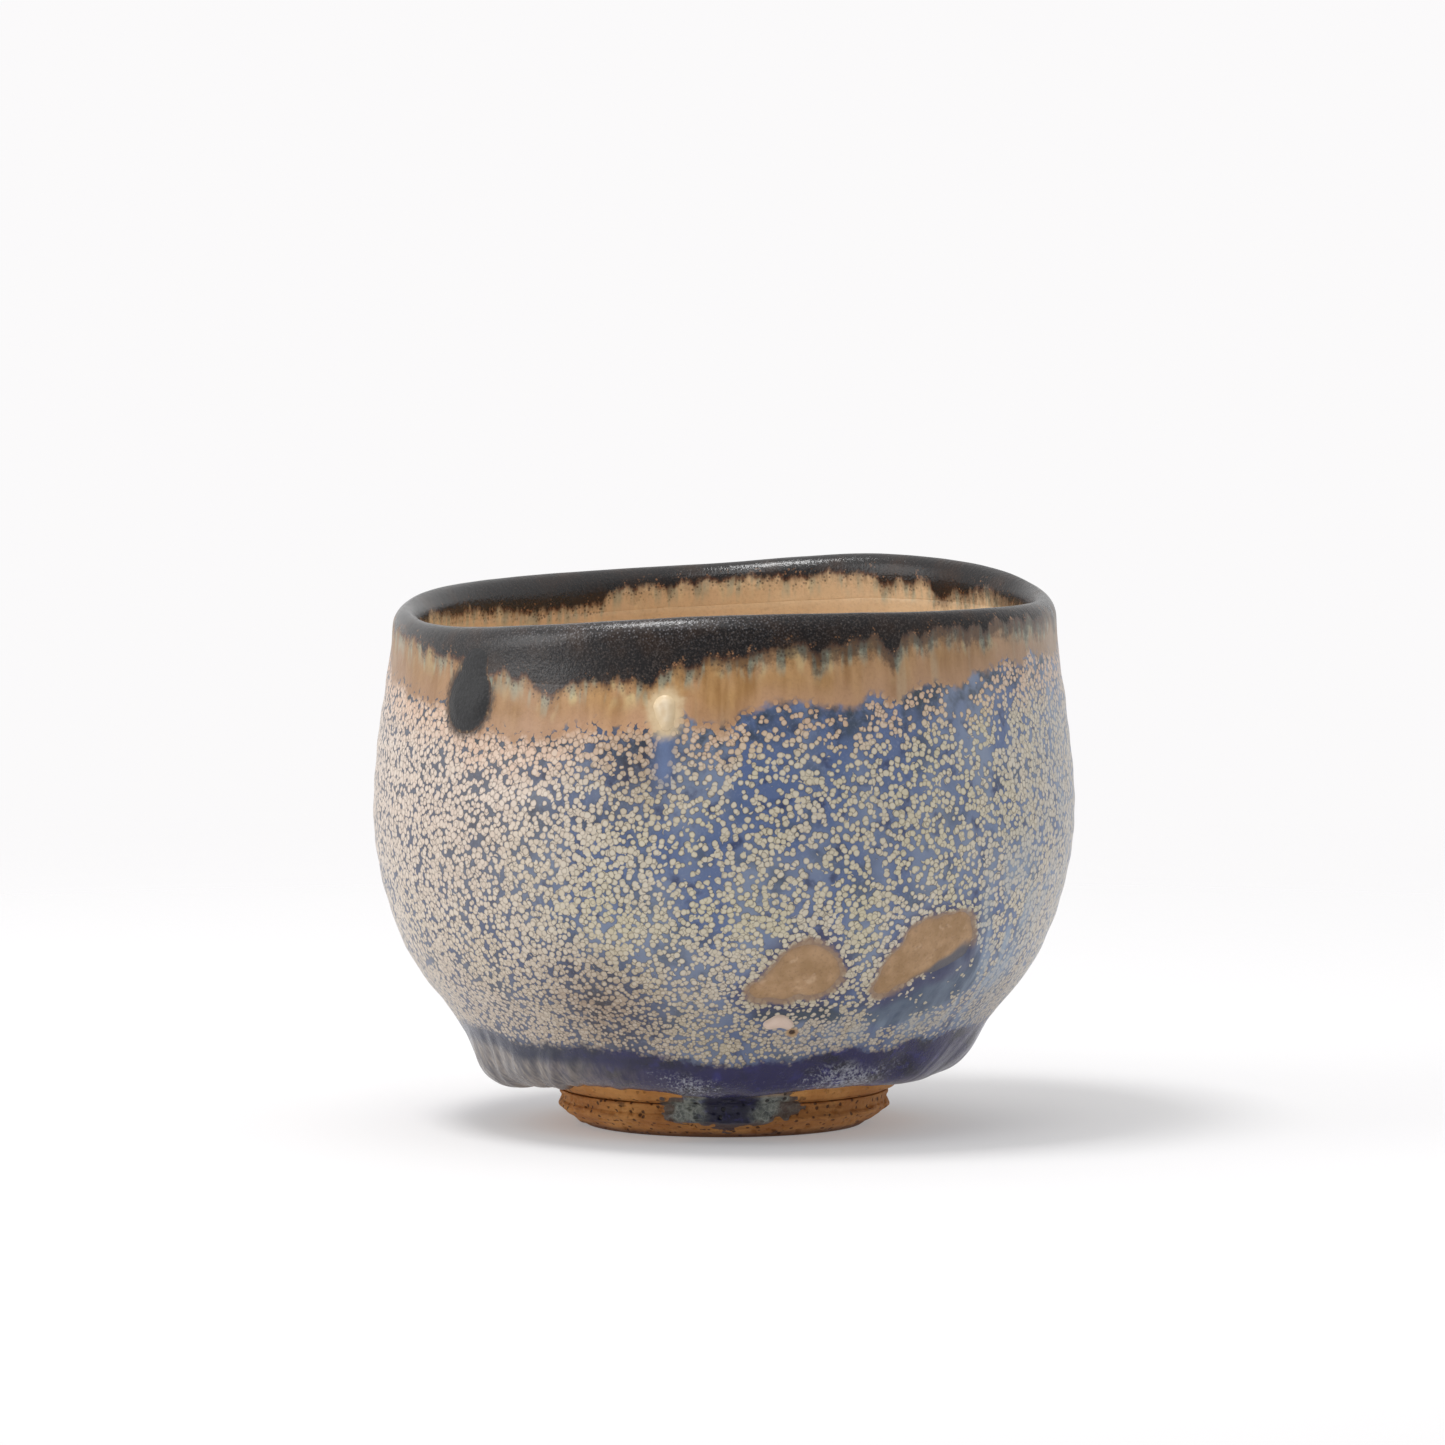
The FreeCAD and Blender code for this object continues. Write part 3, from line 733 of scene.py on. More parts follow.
def ring_uvs(columns, rows, closed):
    """UVs for ring_faces, four to a quad."""
    last = rows if closed else rows - 1
    column = np.arange(columns)[:, None]
    row = np.arange(last)[None, :]
    steps = ((0, 0), (0, 1), (1, 1), (1, 0))
    corners = [turn_uv(columns, column, step, (row + below) / last) for step, below in steps]
    return np.stack(corners, axis=2).reshape(-1, 2)


def fan_uvs(columns, share, steps):
    """UVs for a fan of triangles, three to each."""
    corners = [turn_uv(columns, np.arange(columns), step, share) for step in steps]
    return np.stack(corners, axis=1).reshape(-1, 2)


def two_sides(turn, drop, base, normal, rise, thickness):
    """A coat's face, and its clay side from the end back to the start: each points, azimuths and drops."""
    rows = drop.shape[1]
    back = np.unique(np.linspace(rows - 1, 0, CLAY_SIDE_ROWS).round().astype(int))[::-1]
    face = (base + normal * rise[..., None], turn, drop)
    under = (base[:, back] - normal[:, back] * thickness, turn[:, back], drop[:, back])
    return face, under


def tucked(distance):
    return TUCK * (1.0 - smooth_step(distance, 0.0, TUCK_REACH))


def coat(piece, start, end, rows, thickness=0.7, lift=None):
    """A coat of glaze all round the wall between two signed drops, closed: its face, then its clay side.

    Both ends are tucked under the neighbouring coats."""
    start = np.broadcast_to(start, COLUMNS)[:, None]
    end = np.broadcast_to(end, COLUMNS)[:, None]
    drop = start + (end - start) * np.linspace(0.0, 1.0, rows)[None, :]
    turn = np.broadcast_to(even_turns(COLUMNS)[:, None], drop.shape)
    base = wall_points(turn, drop)
    rise = relief(turn, drop, base)
    if lift is not None:
        rise = rise + lift(turn, drop)
    rise = rise - tucked(np.minimum(np.abs(drop - start), np.abs(end - drop)))
    sides = two_sides(turn, drop, base, grid_normals(base), rise, thickness)
    grid, turns, drops = (np.concatenate(pair, axis=1) for pair in zip(*sides))
    rows = grid.shape[1]
    faces = ring_faces(COLUMNS, rows, True).tolist()
    add_glaze(piece, grid.reshape(-1, 3), faces, turns.ravel(), drops.ravel(), ring_uvs(COLUMNS, rows, True))


def lining(piece, start, rows, thickness=0.7):
    """The coat inside the bowl, from under the rim glaze to the middle of the floor, as a closed mesh.

    Its grid runs from the clay side's middle, out to the edge, over it and back to the face's middle."""
    start = start[:, None]
    azimuth = even_turns(COLUMNS)
    end = -skin.length(azimuth, "inside")[:, None]
    drop = start + (end - start) * np.linspace(0.0, 1.0, rows + 1)[None, :-1]
    turn = np.broadcast_to(azimuth[:, None], drop.shape)
    base = wall_points(turn, drop)
    from_middle = smooth_step(np.hypot(base[..., 0], base[..., 1]), 0.0, 6.0)
    rise = relief(turn, drop, base) * from_middle - tucked(np.abs(drop - start))
    face, under = two_sides(turn, drop, base, -grid_normals(base), rise, thickness)
    grid, turns, drops = (np.concatenate(pair, axis=1) for pair in zip(under, face))
    rows = grid.shape[1]
    floor = float(skin.at(0.0, skin.length(0.0, "inside"), "inside")[..., 1])
    vertices = np.concatenate([grid.reshape(-1, 3), [[0.0, 0.0, floor - thickness], [0.0, 0.0, floor]]])
    turns = np.concatenate([turns.ravel(), [0.0, 0.0]])
    drops = np.concatenate([drops.ravel(), np.full(2, float(end[0, 0]))])
    quad_uvs = ring_uvs(COLUMNS, rows, False).reshape(-1, 4, 2)[:, ::-1].reshape(-1, 2)
    pole_uvs = [fan_uvs(COLUMNS, 0.0, (1.0, 0.0, 0.5)), fan_uvs(COLUMNS, 1.0, (0.0, 1.0, 0.5))]
    faces = capped_faces(COLUMNS, rows, flipped=True)
    add_glaze(piece, vertices, faces, turns, drops, np.concatenate([quad_uvs] + pole_uvs))


LENS_SPOKES = 128
LENS_REACH = 40.0  # no outline is farther from its middle than this


def lens_mesh(patch, shape, lift, rings=24, margin=0.5, depth=0.8):
    """A patch of glaze on the wall: a face that ends a margin outside an outline, and a bed under it.

    Returns its vertices, faces, azimuths and drops."""
    middle = shape[len(shape) // 2]
    angle = np.arange(LENS_SPOKES) * 2.0 * math.pi / LENS_SPOKES
    low, high = np.zeros(LENS_SPOKES), np.full(LENS_SPOKES, LENS_REACH)
    for _ in range(40):
        reach = (low + high) / 2.0
        inside = strand(middle[0] + reach * np.cos(angle), middle[1] + reach * np.sin(angle), shape) < margin
        low, high = np.where(inside, reach, low), np.where(inside, high, reach)
    distance = low[:, None] * np.linspace(1.0, 0.0, rings + 1)[None, :]
    u = middle[0] + distance * np.cos(angle)[:, None]
    v = middle[1] + distance * np.sin(angle)[:, None]
    azimuth, drop = patch.wall(u, v)
    points, normal = skin.frame_at(azimuth, drop)
    rise = relief(azimuth, drop, points) + lift(strand(u, v, shape), v)
    face = points + normal * rise[..., None]
    bed = points - normal * depth
    # from the bed's middle out to the edge, and over the face back to its middle
    grid, turns, drops = (
        np.concatenate([below[:, :-1:3][:, ::-1], above[:, :-1]], axis=1)
        for below, above in ((bed, face), (azimuth, azimuth), (drop, drop))
    )
    vertices = np.concatenate([grid.reshape(-1, 3), bed[:1, -1], face[:1, -1]])
    turns = np.concatenate([turns.ravel(), np.full(2, azimuth[0, -1])])
    drops = np.concatenate([drops.ravel(), np.full(2, drop[0, -1])])
    return vertices, capped_faces(LENS_SPOKES, grid.shape[1]), turns, drops


def lens(piece, *lenses):
    """One piece made of one or more patches of glaze."""
    faces = []
    count = 0
    for vertices, own_faces, _, _ in lenses:
        faces += [[index + count for index in face] for face in own_faces]
        count += len(vertices)
    vertices, turns, drops = (np.concatenate([parts[index] for parts in lenses]) for index in (0, 2, 3))
    add_glaze(piece, vertices, faces, turns, drops)

# ------------------------------------------------------------------ clay, foot and the splash on them


def polar(points):
    """Azimuths and radii of points."""
    azimuth = np.degrees(np.arctan2(points[..., 0], -points[..., 1]))
    return azimuth, np.hypot(points[..., 0], points[..., 1])


def clay_fields(vertices):
    """Where the bare clay is: its height, its distance from the axis, and how far it is on the left."""
    azimuth, radius = polar(vertices)
    return {
        "level": vertices[:, 2],
        "reach": radius,
        "left": bump_at(turn_from(azimuth, -75.0), 0.0, 55.0),
    }


CLAY_COLUMNS = 384
INSIDE_ROWS, COVERED_ROWS, BARE_ROWS = 43, 28, 109  # down the inside, down the covered outside, and below
SMOOTH_ROWS = 24  # of the covered rows, those that get no relief at all
BARE_HEIGHT = 12.0  # below this the clay bowl's outside is bare


def clay_body(piece):
    """The thrown clay: its wall under the coats, and its bare underside with the trimmer's spiral."""
    turn = even_turns(CLAY_COLUMNS)[:, None]
    length = clay.length(turn)
    bare = clay.drop_at(turn, BARE_HEIGHT)
    covered = np.linspace(0.0, 1.0, COVERED_ROWS)[None, :] * bare
    shown = bare + (length - bare) * np.linspace(0.0, 1.0, BARE_ROWS + 2)[None, 1:-1]
    down = np.concatenate([covered, shown], axis=1)
    up = clay.length(turn, "inside") * np.linspace(1.0, 0.0, INSIDE_ROWS + 2)[None, 1:-1]
    inside = to_space(np.broadcast_to(turn, up.shape), clay.at(turn, up, "inside"))
    outside = to_space(np.broadcast_to(turn, down.shape), clay.at(turn, down))
    base = np.concatenate([inside, outside], axis=1)
    normal = grid_normals(base)
    around, radius = polar(base)
    height = base[..., 2]
    underneath = (np.arange(base.shape[1]) >= INSIDE_ROWS + SMOOTH_ROWS)[None, :] & (height < BARE_HEIGHT)
    spiral = 0.13 * np.sin(2.0 * math.pi * (radius / 3.1 - around / TURN))
    spiral = spiral * smooth_step(radius, 1.5, 5.0) * (1.0 - smooth_step(radius, 16.5, 18.4))
    nub = 0.5 * bump_at(radius, 0.0, 2.6)
    rough = 0.10 * noise(base, 1.3, 71) + 0.10 * noise(base, 4.0, 72)
    wipe = 0.10 * np.sin(height * 7.0 + 1.2 * noise(base, 16.0, 73)) * smooth_step(radius, 26.5, 28.0)
    in_recess = 1.0 - smooth_step(radius, 18.6, 18.9)
    on_apron = smooth_step(radius, 27.6, 28.6)
    rise = (spiral + nub) * in_recess + rough * np.maximum(in_recess, 0.6 * on_apron) + wipe
    grid = base + normal * np.where(underneath, rise, 0.0)[..., None]
    floor = clay.at(0.0, clay.length(0.0, "inside"), "inside")[..., 1].item()
    under = clay.at(0.0, clay.length(0.0))[..., 1].item()
    vertices = np.concatenate([grid.reshape(-1, 3), [[0.0, 0.0, floor], [0.0, 0.0, under - 0.5]]])
    add_mesh(piece, vertices, capped_faces(CLAY_COLUMNS, grid.shape[1]), clay_fields(vertices))


FOOT_CENTRE = (22.9, 2.9)  # radius and height of the middle of the foot ring's section
FOOT_FAR = 12.0  # rays towards that middle start this far off
FOOT_RADIUS = 27.0
FOOT_COLUMNS = 512
FOOT_ROWS = 150


def foot(piece):
    """The foot ring, with its turning ridges, pits and chipped contact."""
    tree = tree_of(piece[1])
    angles = np.linspace(0.5 * math.pi, -1.5 * math.pi, 240, endpoint=False)
    outwards = [half_plane(azimuth) for azimuth in even_turns(PROBES)]
    probed = [fan_back(tree, outward, FOOT_CENTRE, angles, FOOT_FAR) for outward in outwards]
    line = np.mean(np.array(probed), axis=0)
    profile = even(np.concatenate([line, line[:1]]), FOOT_ROWS + 1)[0][:-1]
    for _ in range(3):
        profile = (np.roll(profile, 1, axis=0) + 2.0 * profile + np.roll(profile, -1, axis=0)) / 4.0
    profile[:, 1] -= profile[:, 1].min()
    turn = np.broadcast_to(even_turns(FOOT_COLUMNS)[:, None], (FOOT_COLUMNS, FOOT_ROWS))
    base = to_space(turn, np.broadcast_to(profile, (FOOT_COLUMNS, FOOT_ROWS, 2)))
    down = np.roll(base, -1, axis=1) - np.roll(base, 1, axis=1)
    normal = unit(np.cross(down, np.roll(base, -1, axis=0) - np.roll(base, 1, axis=0)))
    height = base[..., 2]
    radius = polar(base)[1]
    wandering = round_the_bowl(turn * 0.0, height + 0.5 * noise(base, 9.0, 81), FOOT_RADIUS)
    ridges = 0.09 * noise(wandering, 0.9, 82)
    drawn_round = round_the_bowl(turn, height * 3.2, FOOT_RADIUS)
    grain = 0.05 * noise(base, 0.9, 83) + 0.08 * noise(drawn_round, 3.2, 84)
    lumps = 0.16 * noise(base, 6.0, 85)
    pits = -0.30 * smooth_step(noise(base, 0.8, 86), 0.72, 1.1)
    groove = -0.18 * bump_at(height, 4.0 + 0.18 * noise(base, 8.0, 87), 0.16)
    groove = groove * smooth_step(noise(round_the_bowl(turn, 0.0, FOOT_RADIUS), 13.0, 88), -0.2, 0.4)
    chips = -0.25 * smooth_step(noise(base, 1.7, 89), 0.6, 1.2) * bump_at(height, 0.3, 0.6)
    outer = smooth_step(radius, 19.5, 21.0)
    rise = lumps * 0.5 + grain + (ridges + pits + groove + chips) * outer
    rise = rise * smooth_step(height, 0.0, 0.5) * (1.0 - smooth_step(height, 5.2, 5.65))
    grid = base + normal * rise[..., None]
    grid[..., 2] = np.maximum(grid[..., 2], 0.0)
    vertices = grid.reshape(-1, 3)
    add_mesh(piece, vertices, ring_faces(FOOT_COLUMNS, FOOT_ROWS, True).tolist(), clay_fields(vertices))


SPLASH_COLUMNS = 150
SPLASH_ROWS = 70
SPLASH_START = 36.0  # radius at which rays towards the axis start
SPLASH_BURIED = 0.9  # how deep its edge is sunk into the clay
SPLASH_BED = 1.6  # and how deep its hidden side lies


def splash(piece):
    """The splash of glaze that ran over the cove and the foot, read from its node and from the clay."""
    tree, bare = tree_of(piece[1]), tree_of("clay_bowl", "foot_ring")
    centre, reach = azimuth_span(piece[1])
    low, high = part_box(piece[1])
    size = (SPLASH_COLUMNS, SPLASH_ROWS)
    turns = np.linspace(centre - 1.3 * reach, centre + 1.3 * reach, SPLASH_COLUMNS)
    heights = np.linspace(high.z / MM + 0.9, low.z / MM - 1.0, SPLASH_ROWS)
    collar, wall = np.full(size, np.nan), np.full(size, np.nan)
    for i, azimuth in enumerate(turns):
        outward = half_plane(azimuth)
        for j, height in enumerate(heights):
            for store, target in ((collar, tree), (wall, bare)):
                hit = cast(target, outward, (SPLASH_START, height), math.pi, 20.0)
                store[i, j] = hit[0] if hit else np.nan
    middle = collar[SPLASH_COLUMNS // 2]
    known = ~np.isnan(middle)
    thick = np.interp(-heights, -heights[known], (middle - wall[SPLASH_COLUMNS // 2])[known])
    turn, height = np.meshgrid(turns, heights, indexing="ij")
    across = np.radians(turn - centre) * FOOT_RADIUS
    half_width = np.radians(reach) * FOOT_RADIUS * 0.84
    half_length = (high.z - low.z) / MM * 0.56
    up = height - (low.z / MM + half_length)
    place = to_space(turn, np.stack([wall, height], axis=-1))
    ragged = 0.75 * noise(place, 4.2, 94) + 0.45 * noise(place, 1.7, 91, 2)
    inward = (1.0 - np.hypot(across / half_width, np.minimum(up, 0.0) / half_length)) * half_length + ragged
    rise = (0.80 * thick + 0.16 + 0.10 * noise(place, 1.6, 92)) * smooth_step(inward, -0.1, 1.3)
    rise = rise - 0.35 * smooth_step(noise(place, 0.75, 93), 0.8, 1.1) * smooth_step(inward, 0.5, 1.5)
    rise = rise - SPLASH_BURIED * (1.0 - smooth_step(inward, -0.7, 0.1))
    face = to_space(turn, np.stack([wall + rise, height], axis=-1))
    bed = to_space(turn, np.stack([wall - SPLASH_BED, height], axis=-1))
    index = np.arange(turn.size).reshape(size)
    corners = (index[:-1, :-1], index[:-1, 1:], index[1:, 1:], index[1:, :-1])
    quads = np.stack(corners, axis=-1).reshape(-1, 4)
    rim = np.concatenate([index[:-1, 0], index[-1, :-1], index[:0:-1, -1], index[0, :0:-1]])
    after = np.roll(rim, -1)
    sides = np.stack([rim, after, after + turn.size, rim + turn.size], axis=-1)
    faces = np.concatenate([quads, quads[:, ::-1] + turn.size, sides]).tolist()
    values = {"level": height, "inward": inward, "across": across}
    values = {key: np.tile(field.ravel(), 2) for key, field in values.items()}
    add_mesh(piece, np.concatenate([face.reshape(-1, 3), bed.reshape(-1, 3)]), faces, values)

# ------------------------------------------------------------------ node graphs


def rgb(red, green, blue):
    """A linear colour from screen values of 0 to 255."""
    shares = [value / 255.0 for value in (red, green, blue)]
    linear = [share / 12.92 if share <= 0.04045 else ((share + 0.055) / 1.055) ** 2.4 for share in shares]
    return (*linear, 1.0)


class Value:
    """A node's output, which can be written in sums and products with numbers and other outputs."""

    def __init__(self, graph, socket):
        self.graph = graph
        self.socket = socket

    def __add__(self, other):
        return self.graph.math("ADD", self, other)

    def __mul__(self, other):
        return self.graph.math("MULTIPLY", self, other)

    def __sub__(self, other):
        return self.graph.math("SUBTRACT", self, other)

    def __rsub__(self, other):
        return self.graph.math("SUBTRACT", other, self)

    __radd__ = __add__
    __rmul__ = __mul__

    def step(self, start, end):
        """Rises smoothly from 0 at start to 1 at end. The start may be the larger of the two."""
        if start > end:
            return 1.0 - self.step(end, start)
        inputs = {"Value": self, "From Min": start, "From Max": end}
        return self.graph.node("MapRange", inputs, "Result", interpolation_type="SMOOTHSTEP")

    def other(self, output):
        """Another output of the same node."""
        return Value(self.graph, self.socket.node.outputs[output])


class Graph:
    """The nodes of a material or a world, written as expressions."""

    def __init__(self, owner):
        owner.use_nodes = True
        self.owner = owner
        self.nodes = owner.node_tree.nodes
        self.links = owner.node_tree.links
        self.nodes.clear()
        self.place = self.node("TexCoord", {}, "Object")
        self.known = {}

    def node(self, kind, inputs, output=0, **settings):
        """A node with settings and inputs, each a number, a colour or a value. Gives one of its outputs."""
        node = self.nodes.new("ShaderNode" + kind)
        for key, setting in settings.items():
            setattr(node, key, setting)
        for key, value in inputs.items():
            if isinstance(value, Value):
                self.links.new(value.socket, node.inputs[key])
            else:
                node.inputs[key].default_value = value
        return Value(self, node.outputs[output]) if node.outputs else None

    def math(self, operation, first, second=0.0):
        return self.node("Math", {0: first, 1: second}, operation=operation)

    def vector(self, operation, first, second):
        return self.node("VectorMath", {0: first, 1: second}, operation=operation)

    def scaled(self, vector, scale):
        return self.node("VectorMath", {0: vector, "Scale": scale}, operation="SCALE")

    def mix(self, share, low, high):
        return self.node("Mix", {0: share, 6: low, 7: high}, 2, data_type="RGBA")

    def layered(self, colour, *layers):
        """A colour with others laid over it in turn, each a share and a colour."""
        for share, tone in layers:
            colour = self.mix(share, colour, tone)
        return colour

    def __getitem__(self, name):
        """A field of the mesh."""
        if name not in self.known:
            self.known[name] = self.node("Attribute", {}, "Fac", attribute_name=name)
        return self.known[name]

    def noise(self, cell, detail=2.0, rough=0.5, shift=0.0, along=None, vector=None):
        """Noise mostly from -1 to 1. With along, it runs over the unrolled wall and is drawn out down it."""
        vector = vector or self.place
        if along is not None:
            flow = self.node("Attribute", {}, "Vector", attribute_name="flow")
            vector = self.vector("MULTIPLY", flow, (1.0, 1.0, along))
        if shift:
            vector = self.vector("ADD", vector, (shift, -shift, 0.5 * shift))
        inputs = {"Vector": vector, "Scale": 1.0 / cell, "Detail": detail, "Roughness": rough}
        return (self.node("TexNoise", inputs, "Fac") - 0.5) * 4.0

    def cells(self, cell, feature="F1"):
        """Distance to the nearest cell point, or to the nearest cell's edge, in units of a cell."""
        inputs = {"Vector": self.place, "Scale": 1.0 / cell}
        return self.node("TexVoronoi", inputs, "Distance", feature=feature)

    def sheet(self):
        """Where a point is on the unrolled wall, and how far from the line where the back's sheet begins."""
        line = self["behind"] + self.noise(3.0, 1.0, shift=101.0) * 1.5
        back = self.math("GREATER_THAN", line, 0.0)
        across = self["sheet_front"] * (1.0 - back) + self["sheet_back"] * back
        return self.node("CombineXYZ", {0: across, 1: self["sheet_down"]}), self.math("ABSOLUTE", line)

    def dots(self, sheet, layer, chance, reach):
        """Round dots, some of them left out: how far inside its dot a point is, and the dot's own tone."""
        cell, shift, angle = layer
        turned = {"Vector": sheet, "Location": (shift, 0.7 * shift, 0.0), "Rotation": (0.0, 0.0, angle)}
        inputs = {"Vector": self.node("Mapping", turned), "Scale": 1.0 / cell, "Randomness": 0.9}
        nearest = self.node("TexVoronoi", inputs, "Distance", voronoi_dimensions="2D")
        own = self.node("SeparateColor", {0: nearest.other("Color")})
        wide = reach * (own.other(1) * 0.5 + 0.72)
        absent = (own - chance).step(-0.01, 0.01)
        return wide - nearest * cell - absent * 4.0, own.other(2)

    def finish(self, colour, roughness, height, bump, specular=0.5):
        """The glaze's or the clay's surface over the colour. Returns the material."""
        bumped = self.node("Bump", {"Strength": bump, "Distance": MM, "Height": height}, "Normal")
        inputs = {"Base Color": colour, "Roughness": roughness, "Normal": bumped}
        inputs["Specular IOR Level"] = specular
        self.node("OutputMaterial", {"Surface": self.node("BsdfPrincipled", inputs)})
        return self.owner


def new_graph(name):
    """The graph of a new material, whose places are in millimetres."""
    graph = Graph(bpy.data.materials.new(name))
    graph.place = graph.scaled(graph.place, 1.0 / MM)
    return graph

# ------------------------------------------------------------------ glazes and clay

CREAM = rgb(204, 194, 176)
CREAM_YELLOW = rgb(200, 191, 162)
CREAM_PINK = rgb(212, 194, 180)
CREAM_GREY = rgb(188, 178, 164)
CREAM_EARTH = rgb(150, 122, 98)
# painted shade for the dots low on the wall
SHADED_CREAM = rgb(152, 134, 116)
DOT_PINK = rgb(206, 164, 134)
DOT_EDGE = rgb(136, 120, 100)
# painted highlight for the middle of some dots
DOT_HIGHLIGHT = rgb(226, 218, 204)
DOT_LINE = rgb(60, 60, 70)
BLUE = rgb(88, 106, 146)
BLUE_PALE = rgb(124, 137, 162)
BLUE_MIST = rgb(140, 150, 172)
# painted shade for the ground low on the wall
SHADED_BLUE = rgb(58, 60, 80)
NAVY = rgb(46, 53, 90)
SLATE = rgb(58, 66, 72)
SLATE_WARM = rgb(84, 80, 80)
SLATE_GREEN = rgb(50, 58, 62)
EARTH = rgb(56, 46, 42)
BLACK = rgb(32, 30, 31)
BLACK_BROWN = rgb(48, 36, 30)
UMBER = rgb(64, 44, 33)
SOOT = rgb(64, 52, 44)
RUST = rgb(98, 58, 34)
COPPER = rgb(190, 140, 100)
TURQUOISE = rgb(158, 172, 154)
OCHRE = rgb(202, 158, 104)
OCHRE_DEEP = rgb(160, 116, 66)
OCHRE_PINK = rgb(206, 162, 124)
OCHRE_PALE = rgb(222, 202, 150)
COBALT = rgb(34, 30, 76)
COBALT_DARK = rgb(20, 18, 34)
COBALT_LIGHT = rgb(46, 44, 110)
FROST = rgb(164, 166, 176)
MILK = rgb(150, 165, 182)
BEAD_CREAM = rgb(222, 198, 160)

# each layer of dots: the size of its cells, and how it is shifted and turned on the sheet, in radians
DOT_LAYERS = ((1.62, 0.0, 0.3), (1.74, 31.7, 1.1), (1.86, 77.3, 2.0), (1.68, 113.9, 2.7), (1.54, 151.3, 0.7))


def speckle(graph):
    """The speckled glaze: round cream dots, laid over each other in clumps, on a blue, navy and slate ground.

    Returns its colour, and the share of a place that is dots."""
    sheet, from_switch = graph.sheet()
    warp = graph.node("TexNoise", {"Vector": graph.place, "Scale": 1.0 / 1.1, "Detail": 2.0}, "Color")
    sheet = graph.vector("ADD", sheet, graph.scaled(graph.vector("SUBTRACT", warp, (0.5, 0.5, 0.5)), 0.42))
    cover = graph["cover"] + graph.noise(3.2, 1.0, shift=9.0) * 0.2
    chance = cover * 1.26 - 0.05
    reach = cover * 0.17 + 0.385
    lumpy = graph.noise(0.6, 1.0, shift=2.0) * 0.05
    dark = graph.noise(2.6, shift=17.0)
    earth = graph["earth"] * graph.noise(3.0, shift=21.0).step(-1.5, -0.1)
    colour = graph.layered(
        BLUE,
        (graph.noise(9.0, shift=3.0, along=0.55).step(-0.5, 0.7), BLUE_PALE),
        (dark.step(0.1, 1.0) * 0.8, NAVY),
        (graph.noise(6.5, shift=41.0).step(0.0, 1.0) * 0.6, SLATE),
        (graph["warm"] * 0.75, SLATE_WARM),
        (earth, EARTH),
        (graph["tan"].step(-7.0, -0.5) * dark.step(-0.7, 0.6) * 0.75, SLATE_GREEN),
        (graph.noise(0.5, shift=19.0).step(0.0, 1.3) * 0.35, BLUE_MIST),
        # painted shade: the ground darkens low on the wall
        (graph["low"] * 0.3, SHADED_BLUE),
    )
    body = graph.layered(
        CREAM,
        (graph.noise(11.0, shift=13.0, along=0.7).step(-0.6, 0.8), CREAM_YELLOW),
        (graph["warm"], CREAM_PINK),
        # painted shade: greyer dots on the right and, less, at the back
        (graph["side"], CREAM_GREY),
        (graph["tan"].step(-10.0, -1.0) * 0.7, DOT_PINK),
        (earth * 0.85, CREAM_EARTH),
        # painted shade: the dots darken low on the wall
        (graph["low"] * 0.5, SHADED_CREAM),
    )
    outline = graph.noise(1.9, 1.0, shift=6.0).step(-0.9, 0.6) * 0.62
    all_dots = None
    for layer in DOT_LAYERS:
        edge, own = graph.dots(sheet, layer, chance, reach)
        edge = graph.math("MINIMUM", edge + lumpy, from_switch - 0.1)
        share = edge.step(-0.05, 0.05)
        # painted highlight: a paler middle in some of the dots
        lit = own * edge.step(0.05, 0.25) * 0.35
        tone = graph.layered(body, (edge.step(0.2, 0.02) * 0.45, DOT_EDGE), (lit, DOT_HIGHLIGHT))
        colour = graph.layered(colour, (edge.step(-0.16, -0.02) * outline, DOT_LINE), (share, tone))
        all_dots = graph.math("MAXIMUM", all_dots, share) if all_dots else share
    return colour, all_dots


def ochre(graph):
    """The ochre glaze under the black: soft streaks down the wall, with yellow, pink and brown patches."""
    streaks = graph.noise(2.6, along=0.2) * 0.8 + graph.noise(0.9, along=0.2) * 0.35
    yellow = graph.noise(2.4, 1.0, shift=23.0, along=0.55).step(0.25, 0.95)
    ash = graph.noise(2.4, shift=33.0, along=0.12).step(0.1, 1.0)
    within = graph["inside"]
    return graph.layered(
        OCHRE_DEEP,
        (streaks.step(-0.9, 1.0), OCHRE),
        (graph.noise(5.0, shift=11.0, along=0.5).step(-0.5, 0.9) * 0.75, OCHRE_PINK),
        (yellow * graph["black"].step(-6.0, -1.0) * 0.85, OCHRE_PALE),
        (graph["tan"].step(5.0, 0.0) * 0.65, rgb(200, 158, 128)),
        (ash * graph["right"] * 0.5, rgb(198, 180, 150)),
        # darker and browner on the right: partly the glaze's own tone, partly painted shade
        (graph["right"] * 0.22, rgb(124, 100, 70)),
        # painted shade: greyer on the right and, less, at the back
        (graph["side"] * 0.5, rgb(168, 150, 130)),
        (graph.noise(3.4, 3.0, 0.6, shift=35.0, along=0.35).step(0.0, 1.1) * 0.45, rgb(146, 104, 64)),
        # painted shade: the outside of the band darkens away from the front
        ((1.0 - graph.math("MAXIMUM", graph["front"], within)) * 0.6, rgb(118, 92, 66)),
        # painted shade: darker on the outside's left
        (graph["warm"] * (1.0 - within) * 0.3, rgb(128, 94, 62)),
        (within * 0.62, rgb(246, 218, 178)),
        (graph.noise(0.5).step(-0.2, 1.0) * 0.14, rgb(120, 84, 52)),
    )


